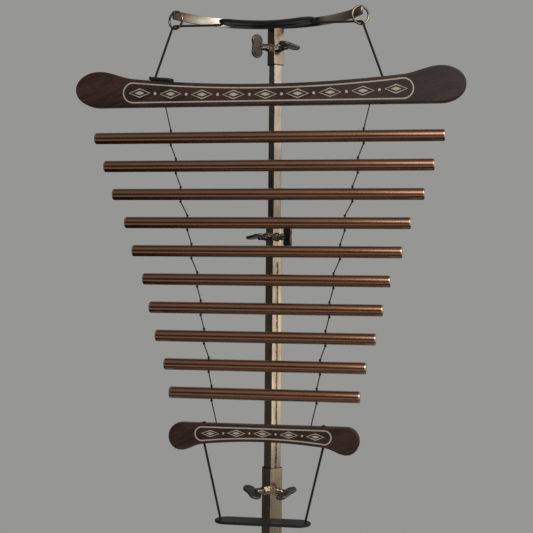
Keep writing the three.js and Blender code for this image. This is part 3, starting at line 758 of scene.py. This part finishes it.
def strip_look(tree):
    """Rolled nickel strip: fine lines along it, browned at its ends, with painted shade where it lies behind
    the handle plate.
    """
    beside = along(tree, RIGHT)
    rolled = noise(tree, (25, 25, 2200), detail=2)
    cloud = noise(tree, (60, 60, 120))
    dark, pale = shade(STRIP_TONE, 0.86), shade(STRIP_TONE, 1.08)
    tone = ramp(cloud, (0.3, dark), (0.55, STRIP_TONE), (0.8, pale))
    tone = mix(ramp(rolled, (0.4, 0.4), (0.6, 0)), tone, shade(STRIP_TONE, 0.7))
    tone = mix(near(beside, 0, *STRIP_BRIGHT_REACH), STRIP_END_TONE, tone)
    # Painted shade where the strip lies behind the handle plate
    tone = mix(near(beside, 0, *STRIP_SHADE_REACH), tone, STRIP_SHADE_TONE)
    roughness = toned(cloud, 0.36, 0.29)
    return dict(Metallic=1, Base_Color=tone, Roughness=roughness, Normal=bump(rolled, 0.03, 0.0001))


def ring_look(tree):
    """Smooth drawn wire with brown clouds in its plating."""
    cloud = noise(tree, (160, 160, 160), detail=3)
    tone = toned(cloud, (0.17, 0.135, 0.10), (0.29, 0.24, 0.185))
    return dict(Metallic=1, Base_Color=tone, Roughness=toned(cloud, 0.24, 0.17))


def cast_look(tree):
    """Dark cast nickel of the wing screws, rubbed bright along its edges; that wear also paints the
    highlights of the hubs and wing rims.
    """
    grain = noise(tree, (1500, 1500, 1500), detail=3)
    cloud = noise(tree, (160, 160, 160))
    edge = made(tree, "ShaderNodeNewGeometry", output="Pointiness")
    tone = toned(cloud, (0.072, 0.062, 0.055), (0.118, 0.103, 0.092))
    # Edge wear, lighter where edges are sharp, and also a painted highlight on hubs and wing rims
    tone = mix(ramp(edge, (0.51, 0), (0.62, 0.8)), tone, (0.36, 0.32, 0.28))
    roughness = toned(grain, 0.26, 0.38)
    return dict(Metallic=1, Base_Color=tone, Roughness=roughness, Normal=bump(grain, 0.08, 0.0002))


def hub_look(tree):
    """Turned nickel of the screws' hubs and shanks, dark in the clouds of its plating."""
    cloud = noise(tree, (420, 420, 420), detail=3)
    tone = ramp(cloud, (0.38, (0.10, 0.088, 0.075)), (0.64, (0.43, 0.395, 0.345)))
    return dict(Metallic=1, Base_Color=tone, Roughness=toned(cloud, 0.20, 0.12))


def copper_look(tree):
    """Copper-coloured satin of the bars, drawn along X, under a clear coat."""
    drawn = noise(tree, (6, 1600, 1600), detail=3)
    cloud = noise(tree, (14, 60, 60))
    tone = toned(cloud, (0.180, 0.072, 0.029), (0.230, 0.096, 0.041))
    return dict(
        Metallic=1, Base_Color=mix(drawn, tone, (0.195, 0.077, 0.031)), Roughness=toned(cloud, 0.26, 0.30),
        Coat_Weight=1, Coat_IOR=1.55, Coat_Roughness=0.16,
    )


def glint_edge_look(tree):
    """Paler metal round the ends of the bars, a painted highlight for the glint on their rounded edges."""
    marks = noise(tree, (900, 900, 900), detail=2)
    tone = ramp(marks, (0.35, (0.56, 0.43, 0.32)), (0.65, (0.64, 0.50, 0.38)))
    return dict(Metallic=1, Base_Color=tone, Roughness=0.24)


def walnut_look(tree):
    """Oiled dark wood with slanting grain, streaks and pores, and a painted grey sheen towards the right."""
    broad = noise(tree, (9, 60, 90), detail=5, roughness=0.6, distortion=0.5, slant=GRAIN_SLANT)
    fine = noise(tree, (30, 420, 420), roughness=0.65, slant=GRAIN_SLANT)
    pores = noise(tree, (170, 2300, 2300), detail=2, slant=GRAIN_SLANT)
    tone = ramp(
        broad, (0.3, (0.0120, 0.0058, 0.0048)), (0.46, (0.0225, 0.0096, 0.0070)),
        (0.58, (0.0500, 0.0190, 0.0112)), (0.72, (0.0240, 0.0100, 0.0074)),
    )
    tone = mix(ramp(fine, (0.42, 0), (0.66, 0.6)), tone, (0.058, 0.0225, 0.0132))
    # Painted sheen: the wood greys towards the right, standing for a cool reflection
    painted_sheen = ranged(along(tree, RIGHT), *PAINTED_SHEEN_REACH, 0, PAINTED_SHEEN_SHARE)
    tone = mix(painted_sheen, tone, (0.030, 0.0225, 0.0235))
    tone = mix(ramp(pores, (0.34, 1), (0.42, 0)), tone, (0.009, 0.0050, 0.0042))
    relief = mix(0.5, fine, ramp(pores, (0.34, 0), (0.42, 1)))
    return dict(
        Base_Color=tone, Roughness=toned(fine, 0.42, 0.54), Specular_IOR_Level=0.28,
        Normal=bump(relief, 0.16, 0.0003),
    )


def inlay_look(tree):
    """Pale wood of the inlay."""
    grain = noise(tree, (40, 500, 700))
    return dict(
        Base_Color=toned(grain, (0.37, 0.325, 0.265), (0.47, 0.42, 0.35)),
        Roughness=toned(grain, 0.42, 0.55), Specular_IOR_Level=0.35, Normal=bump(grain, 0.08, 0.0002),
    )


def cord_look(tree):
    """Black braid with fine fibres."""
    fibre = noise(tree, (5200, 5200, 2600), detail=2)
    return dict(
        Base_Color=toned(fibre, (0.003, 0.003, 0.0033), (0.011, 0.011, 0.0115)),
        Roughness=toned(fibre, 0.62, 0.82), Specular_IOR_Level=0.3, Normal=bump(fibre, 0.35, 0.0001),
        Sheen_Weight=0.06, Sheen_Roughness=0.5,
    )


def rubber_look(tree):
    """Matt black rubber of the plates."""
    grain = noise(tree, (2600, 2600, 2600), detail=2)
    cloud = noise(tree, (45, 90, 90))
    return dict(
        Base_Color=toned(cloud, (0.0075, 0.0075, 0.0090), (0.0135, 0.0135, 0.0155)),
        Roughness=toned(cloud, 0.46, 0.58), Specular_IOR_Level=0.25, Normal=bump(grain, 0.16, 0.0002),
    )


def plain_look(tree, tone, roughness):
    return dict(Base_Color=tone, Roughness=roughness)


strip_nickel = finished("strip_nickel", strip_look)
ring_nickel = finished("ring_nickel", ring_look)
cast_nickel = finished("cast_nickel", cast_look)
turned_nickel = finished("turned_nickel", hub_look)
copper = finished("copper_bar", copper_look)
glint_edge = finished("glint_edge", glint_edge_look)
walnut = finished("walnut", walnut_look)
inlay = finished("pale_inlay", inlay_look)
cord = finished("black_braid", cord_look)
rubber = finished("black_rubber", rubber_look)


# Post and socket: the solids stay, with softened edges

def finish_post():
    lower_end, socket_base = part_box("lower_post")[1].z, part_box("hanger_socket")[0].z
    finishes = {
        "lower_post": (LOWER_TONE, LOWER_POST_SIDE, lower_end),
        "middle_post": (MIDDLE_TONE, MIDDLE_POST_SIDE, middle_post_top, MIDDLE_PAINTED_SHADE, True),
        "upper_post": (UPPER_TONE, UPPER_POST_SIDE, None, UPPER_PAINTED_SHADE),
        "hanger_socket": (SOCKET_TONE, MIDDLE_POST_SIDE, socket_base),
    }
    for name, finish in finishes.items():
        node = frame["nodes"][name]
        node.data.materials.clear()
        give(node, finished(f"{name}_tube", tube_look, *finish))
        smooth(node, POST_SHARP_DEGREES)
        softened = node.modifiers.new("edges", "BEVEL")
        softened.width = POST_EDGE
        softened.segments = POST_BEVEL_STEPS
        softened.limit_method = "ANGLE"
        softened.angle_limit = math.radians(POST_BEVEL_DEGREES)
        softened.harden_normals = True


def add_groove_pin():
    """A small rounded pin at the upper end of the middle tube's groove."""
    dome = [(PIN_RADIUS * math.cos(turn), PIN_RISE * math.sin(turn)) for turn in quarter(PIN_STEPS)]
    profile = [(0, -PIN_RISE), (PIN_RADIUS, -PIN_RISE), *dome[:-1], (0, PIN_RISE)]
    pin = mesh_object("groove_pin", *lathe(profile, HOLE_SIDES))
    out = spin(math.pi / 4, "Z") @ spin(math.pi / 2, "X") @ shift(0, 0, MIDDLE_POST_SIDE / 2)
    turned(pin, shift(0, 0, groove_top - PIN_DROP) @ out)
    ride_on(pin, "middle_post", ring_nickel)


# Hanger strip and rings

def strip_section():
    """Corners of the strip's rounded section, as distance across and height."""
    section = []
    for index, (across, up) in enumerate(((1, 1), (-1, 1), (-1, -1), (1, -1))):
        x = across * (STRIP_THICKNESS / 2 - STRIP_EDGE)
        z = up * (STRIP_HEIGHT / 2 - STRIP_EDGE)
        for turn in quarter(STRIP_CORNER_STEPS):
            angle = index * math.pi / 2 + turn
            section.append((x + STRIP_EDGE * math.cos(angle), z + STRIP_EDGE * math.sin(angle)))
    return section


def strip_mesh():
    """Points and faces of the bowed strip, with its tips rounded off in height."""
    section = strip_section()
    tip_angle = ring_angle + STRIP_TIP_LENGTH / strip_radius
    middle_z = (strip_base + strip_top) / 2
    points = []
    for step in range(STRIP_STEPS + 1):
        angle = tip_angle * (2 * step / STRIP_STEPS - 1)
        left = min((tip_angle - abs(angle)) * strip_radius / STRIP_TIP_ROUND, 1)
        lost = STRIP_TIP_ROUND * (1 - math.sqrt(1 - (1 - left) ** 2)) / (STRIP_HEIGHT / 2)
        for across, up in section:
            reach = strip_radius + across
            y = reach * math.cos(angle) - strip_radius
            points.append((reach * math.sin(angle), y, middle_z + up * (1 - lost)))
    return points, [tuple(reversed(face)) for face in capped_faces(STRIP_STEPS + 1, len(section))]


def add_hanger():
    strip = mesh_object("hanger_strip", *strip_mesh())
    radius = RING_WIRE / 2 + SEAT_GAP
    notches = []
    for side in SIDES.values():
        notch = rod("notch", NOTCH_SIDES, 2 * STRIP_THICKNESS, radius, NOTCH_EDGE_SHARE * radius, 2)
        across = spin(-side * ring_angle, "Z") @ spin(math.pi / 2, "X")
        place = shift(side * HANGER_HALF_SPAN, chime_y, strip_top - RING_NOTCH_DEPTH + radius)
        notches.append(turned(notch, place @ across))
    stand_for(boolean(strip, notches, "DIFFERENCE"), "hanger_bar", strip_nickel)


def add_rings():
    wire = circle(RING_WIRE / 2, RING_SIDES)
    points = [
        ((ring_radius + across) * x, up, (ring_radius + across) * z)
        for x, z in circle(1, RING_STEPS) for across, up in wire
    ]
    faces = ring_faces(RING_STEPS, RING_SIDES, closed=True)
    for name, side in SIDES.items():
        ring = mesh_object(f"{name}_wire_ring", points, faces)
        facing = spin(math.pi / 2 - side * ring_angle, "Z")
        turned(ring, shift(side * HANGER_HALF_SPAN, chime_y, ring_z) @ facing)
        stand_for(ring, f"{name}_ring", ring_nickel)


# Wing screws

def wing_relief(place, share):
    """The wings are dished inside a raised rim."""
    if share > 1 - WING_RIM:
        return 1
    start, end = WING_HUB_BLEND
    away = min(max((abs(place.x) - start) / (end - start), 0), 1)
    return 1 - (1 - WING_WEB / WING_THICKNESS) * away


def wing_screw(name):
    """A turned shank and hub with cast wings, standing on Z."""
    foot = SEAT_GAP / 2
    base = SEAT_GAP + POST_WALL + NUT_HEIGHT + SEAT_GAP
    collar, top = base + HUB_COLLAR, base + HUB_LENGTH
    shank, hub, tip, soft = SCREW_DIAMETER / 2, HUB_DIAMETER / 2, HUB_TIP / 2, SCREW_SOFT
    profile = [
        (0, foot), (shank - soft, foot), (shank, foot + soft), (shank, base),
        (hub - soft, base), (hub, base + soft), (hub, collar), (hub - soft, collar + soft),
        (tip + soft, top - 2 * soft), (tip, top - soft), (tip - soft, top), (0, top),
    ]
    screw = mesh_object(name, *lathe(profile, HUB_SIDES))
    outline = waisted(WING_SPAN / 2, WING_LOBE / 2, WING_WAIST / 2, WING_POINTS)
    edge = WING_EDGE_SHARE * WING_THICKNESS
    plate = slab(*outline, WING_THICKNESS / 2, edge, WING_SHARES, wing_relief)
    wings = mesh_object("wings", *plate)
    for part in (screw, wings):
        give(part, turned_nickel, cast_nickel)
    for polygon in wings.data.polygons:
        polygon.material_index = 1
    turned(wings, shift(0, 0, base + WING_STANDOFF) @ spin(math.pi / 2, "X"))
    return boolean(screw, [wings], "UNION")


def add_screws():
    clamped = {"upper": UPPER_POST_SIDE, "middle": UPPER_POST_SIDE, "lower": MIDDLE_POST_SIDE}
    faces = {"left": spin(-math.pi / 2, "Y"), "right": spin(math.pi / 2, "X")}
    for joint in frame["joints"]:
        node = joint["child"]
        if not node.endswith("_screw"):
            continue
        level, face, _ = node.split("_")
        roll = spin(math.radians(SCREW_ROLLS[f"{level}_{face}"]), "Z")
        stance = faces[face] @ shift(0, 0, clamped[level] / 2) @ roll
        place = spin(math.pi / 4, "Z") @ shift(0, 0, joint["pos_m"][2])
        stand_for(turned(wing_screw(f"{node}_cast"), place @ stance), node)


# Boards and inlay

def board_height(board, x):
    return board["middle"] + (board["waist_height"] - board["middle"]) * (x / board["waist"]) ** 2


def bezier(*handles):
    """Points after the first and up to the last of a curve's four handles."""
    a, b, c, d = np.array(handles)
    t = np.arange(1, ARC_POINTS + 1)[:, None] / ARC_POINTS
    return ((1 - t) ** 3 * a + 3 * (1 - t) ** 2 * t * b + 3 * (1 - t) * t * t * c + t ** 3 * d).tolist()


def board_outline(board):
    """Outline over a straight edge on z = 0, as x and z, with lobes at both ends of a concave edge."""
    lobe, start = board["lobe"], board["lobe_start"]
    waist, height = board["waist"], board["waist_height"]
    blend = (start - waist) * BOARD_BLEND
    slope = 2 * (height - board["middle"]) / waist
    right = arc(start, lobe / 2, board["half"] - start, lobe / 2, -0.5, ARC_POINTS)
    bend = (waist + blend, height + slope * blend)
    right += bezier((start, lobe), (start - blend, lobe), bend, (waist, height))
    for step in range(1, EDGE_POINTS + 1):
        x = waist * (1 - step / EDGE_POINTS)
        right.append((x, board_height(board, x)))
    return right + [(-x, z) for x, z in reversed(right[:-1])]


def drilled(piece, base, *holes):
    """Cuts upright holes on both sides: x, low and high end over a base, and diameter of each."""
    drills = []
    for side in SIDES.values():
        for x, low, high, diameter in holes:
            drill = rod("drill", HOLE_SIDES, (high - low) / 2, diameter / 2, HOLE_EDGE_SHARE * diameter)
            drills.append(turned(drill, shift(side * x, chime_y, base + (low + high) / 2)))
    return boolean(piece, drills, "DIFFERENCE")


def board_piece(name, board, straight_z, up):
    """A board with rounded edges. up is 1 where its concave edge is above the straight one, and -1 below."""
    end, middle = board["lobe_start"], board["middle"] / 2
    plate = slab(
        board_outline(board), (-end, end), board_half_thickness, BOARD_EDGE, BOARD_SHARES, middle_y=middle,
    )
    piece = mesh_object(name, *plate)
    return turned(piece, shift(0, chime_y, straight_z) @ spin(math.pi / 2 * up, "X"))


def add_boards():
    top = board_piece("top_board_wood", TOP_BOARD, top_board_base, 1)
    bottom = board_piece("bottom_board_wood", BOTTOM_BOARD, bottom_board_top, -1)
    thin, thick = THIN_CORD + 2 * HOLE_GAP, THICK_CORD + 2 * HOLE_GAP
    thin_recess, thick_recess = THIN_KNOT + 2 * HOLE_GAP, THICK_KNOT + 2 * HOLE_GAP
    thin_deep, thick_deep = THIN_KNOT + 2 * SEAT_GAP, THICK_KNOT + 2 * SEAT_GAP
    far = TOP_BOARD["lobe"]
    x = TOP_BOARD_CORD_X
    drilled(
        top, top_board_base, (x, -far, far, thin),
        (x, board_height(TOP_BOARD, x) - thin_deep, far, thin_recess),
        (LEG_X, -far, far, thick), (LEG_X, -far, thick_deep, thick_recess),
    )
    x = BOTTOM_BOARD_CORD_X
    drilled(
        bottom, bottom_board_top, (x, -far, far, thin),
        (x, -far, thin_deep - board_height(BOTTOM_BOARD, x), thin_recess),
        (LOOP_X, -far, far, THICK_CORD + 2 * LOOP_CORD_GAP),
        (LOOP_X, -LOOP_KNOT_SINK - SEAT_GAP, far, thick_recess),
    )
    stand_for(top, "top_board", walnut)
    stand_for(bottom, "bottom_board", walnut)


def line_mesh(points, width):
    """A closed flat line through points in x and z, reaching INLAY_DEPTH behind y = 0."""
    corners = []
    for before, (x, z), after in zip([points[-1], *points], points, [*points[1:], points[0]]):
        way = Vector((after[0] - before[0], after[1] - before[1])).normalized()
        over_x, over_z = -way.y * width / 2, way.x * width / 2
        corners += [
            (x - over_x, 0, z - over_z), (x + over_x, 0, z + over_z),
            (x + over_x, INLAY_DEPTH, z + over_z), (x - over_x, INLAY_DEPTH, z - over_z),
        ]
    return corners, ring_faces(len(points), 4, closed=True)


def plate_mesh(points):
    """A flat filled shape of points in x and z."""
    return [(x, y, z) for y in (INLAY_DEPTH, 0) for x, z in points], capped_faces(2, len(points))


def lozenge(x, z, half_length, half_height):
    return [(x - half_length, z), (x, z - half_height), (x + half_length, z), (x, z + half_height)]


def stringing(board, inset):
    """A closed line inside the board's edges, round at both ends."""
    waist = board["waist"]
    cap = (board["waist_height"] - 2 * inset) / 2
    points = [(-waist, inset), (waist, inset)]
    points += arc(waist, inset + cap, cap, cap, -0.5, INLAY_CAP_POINTS)[1:-1]
    for step in range(EDGE_POINTS + 1):
        x = waist * (1 - 2 * step / EDGE_POINTS)
        points.append((x, board_height(board, x) - inset))
    return points + arc(-waist, inset + cap, cap, cap, 0.5, INLAY_CAP_POINTS)[1:-1]


def inlay_piece(node, board, straight_z, up, inset, pitch, count, half_length, half_height):
    """A stringing line round a row of double lozenges and dots, let into a board's front face."""
    parts = [line_mesh(stringing(board, inset), INLAY_LINE)]
    for place in range(-count, count + 1):
        x = place * pitch
        z = board_height(board, x) / 2
        if place % 2:
            parts.append(plate_mesh(circle(DOT_SHARE * half_height, DOT_POINTS, x, z)))
            continue
        parts.append(line_mesh(lozenge(x, z, half_length, half_height), LOZENGE_LINE_SHARE * INLAY_LINE))
        fill_length, fill_height = LOZENGE_FILL_SHARE * half_length, LOZENGE_FILL_SHARE * half_height
        parts.append(plate_mesh(lozenge(x, z, fill_length, fill_height)))
    points, faces = joined(*parts)
    front = chime_y - board_half_thickness - INLAY_PROUD
    placed = [(x, front + y, straight_z + up * z) for x, y, z in points]
    piece = mesh_object(node.replace("board", "inlay"), placed, faces, INLAY_SHARP_DEGREES)
    ride_on(piece, node, inlay)


def add_inlays():
    inlay_piece("top_board", TOP_BOARD, top_board_base, 1, **TOP_INLAY)
    inlay_piece("bottom_board", BOTTOM_BOARD, bottom_board_top, -1, **BOTTOM_INLAY)


# Bars

def glint_edges(bar):
    """Gives the rounded edges of a bar's ends its second material, the painted highlight."""
    for face in bar.data.polygons:
        if GLINT_TILT[0] < abs(face.normal.x) < GLINT_TILT[1]:
            face.material_index = 1


def add_bars():
    hole = THIN_CORD + 2 * HOLE_GAP
    for number, (length, x, z) in enumerate(zip(bar_lengths, bar_x, bar_z), 1):
        stops = [side * x + step * hole for side in SIDES.values() for step in (-1, 1)]
        edge = (BAR_EDGE, BAR_EDGE_STEPS, stops, BAR_EDGE_REACH)
        bar = rod(f"bar_{number}_rod", BAR_SIDES, length / 2, bar_radius, *edge)
        turned(bar, shift(0, chime_y, z) @ spin(math.pi / 2, "Y"))
        drilled(bar, z, (x, -2 * bar_radius, 2 * bar_radius, hole))
        glint_edges(stand_for(bar, f"bar_{number}", copper, glint_edge))


# Cords and knots

def chime_point(x, z):
    return (x, chime_y, z)


def add_cord(name, node, route, sizes, *knots):
    """A braid with knots, each of a place and a turn, in the place of a node. sizes are of cord and knot."""
    parts = [overhand_knot(place, sizes[1], turn) for place, turn in knots]
    points, faces = joined(braided(route, sizes[0]), *parts)
    stand_for(mesh_object(name, points, faces, CORD_SHARP_DEGREES), node, cord)


def add_thin_cords():
    reach = THIN_KNOT / 2 + SEAT_GAP
    sizes = (THIN_CORD, THIN_KNOT_FULL)
    for name, side in SIDES.items():
        start = chime_point(side * TOP_BOARD_CORD_X, top_board_base + THIN_KNOT)
        for index in range(BAR_COUNT):
            x = side * bar_x[index]
            above = chime_point(x, bar_z[index] + bar_radius + reach)
            below = chime_point(x, bar_z[index] - bar_radius - reach)
            add_cord(
                f"{name}_braid_{index + 1}", f"{name}_cord_{index + 1}", taut([start, above, below]),
                sizes, (above, index), (below, index + 2),
            )
            start = below
        x = side * BOTTOM_BOARD_CORD_X
        entry = chime_point(x, bottom_board_top + THIN_CORD)
        knot = chime_point(x, bottom_board_top - board_height(BOTTOM_BOARD, x) + THIN_KNOT / 2)
        add_cord(
            f"{name}_braid_{BAR_COUNT + 1}", f"{name}_cord_{BAR_COUNT + 1}", taut([start, entry, knot]),
            sizes, (knot, 1),
        )
        x = side * TOP_BOARD_CORD_X
        knot = chime_point(x, top_board_base + board_height(TOP_BOARD, x) - THIN_KNOT / 2)
        foot = chime_point(x, top_board_base + SEAT_GAP)
        add_cord(f"{name}_board_knot_braid", f"{name}_board_knot", [knot, foot], sizes, (knot, 1))


def mirrored(route):
    """A route given from the middle to its right end, as a whole route from left to right."""
    right = [chime_point(x, z) for x, z in route]
    left = [chime_point(-x, z) for x, z in reversed(route[1:])]
    return left + right


def top_handle_low():
    """Height of the bowed top plate's underside in its middle, with its holes where the solid has them."""
    return top_handle_base - (TOP_HANDLE_BOW - TOP_HANDLE_BEND) * (HANDLE_HOLE_X / handle_half_length) ** 2


def over_top_handle(x):
    """Height of a cord that lies on the bowed top plate."""
    rise = TOP_HANDLE_BOW * (x / handle_half_length) ** 2
    return top_handle_low() + rise + HANDLE_THICKNESS + THICK_CORD / 2 + SEAT_GAP


def top_cord_route():
    dip_x = HANDLE_HOLE_X + TOP_CORD_DIP[0]
    return mirrored([
        *((x, over_top_handle(x)) for x in TOP_CORD_LYING),
        (dip_x, over_top_handle(dip_x) + TOP_CORD_DIP[1]),
        (HANDLE_HOLE_X, (over_top_handle(HANDLE_HOLE_X) + hang_z) / 2),
        *((HANDLE_HOLE_X + x, hang_z + z) for x, z in TOP_CORD_RISE),
        (HANGER_HALF_SPAN + TOP_CORD_END, hang_z),
    ])


def bottom_cord_route():
    under = bottom_handle_top - HANDLE_THICKNESS - THICK_CORD / 2 - SEAT_GAP
    board_z = bottom_board_top - board_height(BOTTOM_BOARD, LOOP_X)
    return mirrored([
        (0, under),
        *((HANDLE_HOLE_X + x, under + z) for x, z in BOTTOM_CORD_BEND),
        (HANDLE_HOLE_X, bottom_handle_top - HANDLE_THICKNESS / 2),
        (HANDLE_HOLE_X + BOTTOM_CORD_RISE[0], bottom_handle_top + BOTTOM_CORD_RISE[1]),
        (LOOP_X, board_z + THICK_CORD / 2),
    ])


def leg_route(side):
    bend = [(side * (HANGER_HALF_SPAN + x), chime_y + y, hang_z + z) for x, y, z in LEG_BEND]
    entry = Vector(chime_point(side * LEG_X, top_board_base + board_height(TOP_BOARD, LEG_X)))
    foot = chime_point(side * LEG_X, top_board_base + THICK_KNOT / 2)
    straight = Vector(bend[-1]).lerp(entry, LEG_STRAIGHT_SHARE)
    return bend + taut([straight, entry, foot])


def add_thick_cords():
    sizes = (THICK_CORD, THICK_KNOT)
    add_cord("top_cord_braid", "top_cord", top_cord_route(), sizes)
    add_cord("bottom_cord_braid", "bottom_cord", bottom_cord_route(), sizes)
    for name, side in SIDES.items():
        route = leg_route(side)
        add_cord(f"{name}_leg_braid", f"{name}_leg_cord", route, sizes, (route[-1], 0))
        head = chime_point(side * LOOP_X, bottom_board_top - LOOP_KNOT_SINK + THICK_KNOT / 2)
        foot = chime_point(side * LOOP_X, bottom_board_top - board_height(BOTTOM_BOARD, LOOP_X))
        add_cord(f"{name}_loop_knot_braid", f"{name}_loop_knot", [head, foot], sizes, (head, side))


# Handle plates and adjuster

def add_handle(name, base, bow, route):
    outline = waisted(handle_half_length, handle_half_width, handle_half_width, HANDLE_POINTS)
    points, faces = slab(*outline, HANDLE_THICKNESS / 2, HANDLE_EDGE)
    middle = base + HANDLE_THICKNESS / 2
    bowed = [(x, chime_y + y, middle + z + bow * (x / handle_half_length) ** 2) for x, y, z in points]
    plate = mesh_object(f"{name}_plate", bowed, faces)
    passage = mesh_object("passage", *plain_tube(route, THICK_CORD + 2 * SEAT_GAP))
    stand_for(boolean(plate, [passage], "DIFFERENCE"), name, rubber)


def add_handles():
    add_handle("top_handle", top_handle_low(), TOP_HANDLE_BOW, top_cord_route())
    add_handle("bottom_handle", bottom_handle_top - HANDLE_THICKNESS, 0, bottom_cord_route())


def adjuster_outline():
    """Outline with one square and one round end, and the ends of its middle line."""
    half = ADJUSTER_WIDTH / 2
    start, end = -ADJUSTER_HOLE_INSET, ADJUSTER_LENGTH - ADJUSTER_HOLE_INSET - half
    shares = [step / ADJUSTER_SIDE_STEPS for step in range(1, ADJUSTER_SIDE_STEPS)]
    ends = [step / ADJUSTER_END_STEPS for step in range(ADJUSTER_END_STEPS + 1)]
    outline = [(start, half - ADJUSTER_WIDTH * share) for share in ends]
    outline += [(start + (end - start) * share, -half) for share in shares]
    outline += arc(end, 0, half, half, -0.5, HANDLE_POINTS)
    outline += [(end - (end - start) * share, half) for share in shares]
    return outline, (start + half, end)


def add_adjuster():
    plate = slab(*adjuster_outline(), ADJUSTER_THICKNESS / 2, ADJUSTER_EDGE)
    piece = mesh_object("adjuster_plate", *plate)
    slope = 2 * (TOP_BOARD["waist_height"] - TOP_BOARD["middle"]) * LEG_X / TOP_BOARD["waist"] ** 2
    seat = top_board_base + board_height(TOP_BOARD, LEG_X) + 2 * SEAT_GAP
    place = shift(-LEG_X, chime_y, seat) @ spin(math.atan(slope), "Y")
    turned(piece, place @ shift(0, 0, ADJUSTER_THICKNESS / 2))
    tail = rod("tail_hole", HOLE_SIDES, TAIL_HOLE_REACH, THICK_CORD / 2 + HOLE_GAP, TAIL_HOLE_EDGE)
    turned(tail, place @ shift(ADJUSTER_LENGTH - 2 * ADJUSTER_HOLE_INSET, 0, 0))
    passage = mesh_object("passage", *plain_tube(leg_route(SIDES["left"]), THICK_CORD + 2 * HOLE_GAP))
    stand_for(boolean(piece, [tail, passage], "DIFFERENCE"), "cord_adjuster", rubber)


# Stage, lights and camera

def add_floor():
    points = [(x, y, 0) for x, y in circle(FLOOR_RADIUS, FLOOR_STEPS)]
    floor = mesh_object("floor", points, [tuple(range(FLOOR_STEPS))])
    give(floor, finished("pale_floor", plain_look, FLOOR_TONE, FLOOR_ROUGHNESS))


def add_light(name, place, target, size, power, color):
    data = bpy.data.lights.new(name, "AREA")
    data.shape = "RECTANGLE"
    data.size, data.size_y = size
    data.energy = power
    data.color = color
    light = in_scene(name, data)
    light.location = place
    light.rotation_mode = "QUATERNION"
    light.rotation_quaternion = (Vector(target) - Vector(place)).to_track_quat("-Z", "Y")
    light.visible_camera = False


def add_flag(name, centre, facing, half_width, half_height, level):
    """A dark card that darkens one side of the reflections and isn't seen itself."""
    signs = ((-1, -1), (1, -1), (1, 1), (-1, 1))
    card = mesh_object(name, [(x * half_width, y * half_height, 0) for x, y in signs], [(0, 1, 2, 3)])
    turn = Vector(facing).to_track_quat("Z", "Y").to_matrix().to_4x4()
    turned(card, shift(*centre) @ turn)
    give(card, finished(name, plain_look, level, 1))
    card.visible_camera = False


def add_room():
    world = bpy.data.worlds.new("grey_room")
    bpy.context.scene.world = world
    world.use_nodes = True
    fill(world.node_tree.nodes["Background"], {"Color": WALL_TONE, "Strength": 1})


def add_camera():
    data = bpy.data.cameras.new("camera")
    data.sensor_width = SENSOR_MM
    data.lens = FOCAL_PIXELS / FRAME_PIXELS * SENSOR_MM
    camera = in_scene("camera", data)
    camera.location = CAMERA_PLACE
    azimuth = math.radians(CAMERA_AZIMUTH)
    look = Vector((-math.sin(azimuth), math.cos(azimuth), 0))
    roll = Matrix.Rotation(math.radians(CAMERA_ROLL), 3, "Z").to_quaternion()
    camera.rotation_mode = "QUATERNION"
    camera.rotation_quaternion = look.to_track_quat("-Z", "Y") @ roll
    bpy.context.scene.camera = camera


finish_post()
add_groove_pin()
add_hanger()
add_rings()
add_screws()
add_boards()
add_inlays()
add_bars()
add_thin_cords()
add_thick_cords()
add_handles()
add_adjuster()
add_floor()
for name, light in LIGHTS.items():
    add_light(name, *light)
for name, flag in FLAGS.items():
    add_flag(name, *flag)
add_room()
add_camera()
bpy.context.scene.view_settings.view_transform = "Standard"
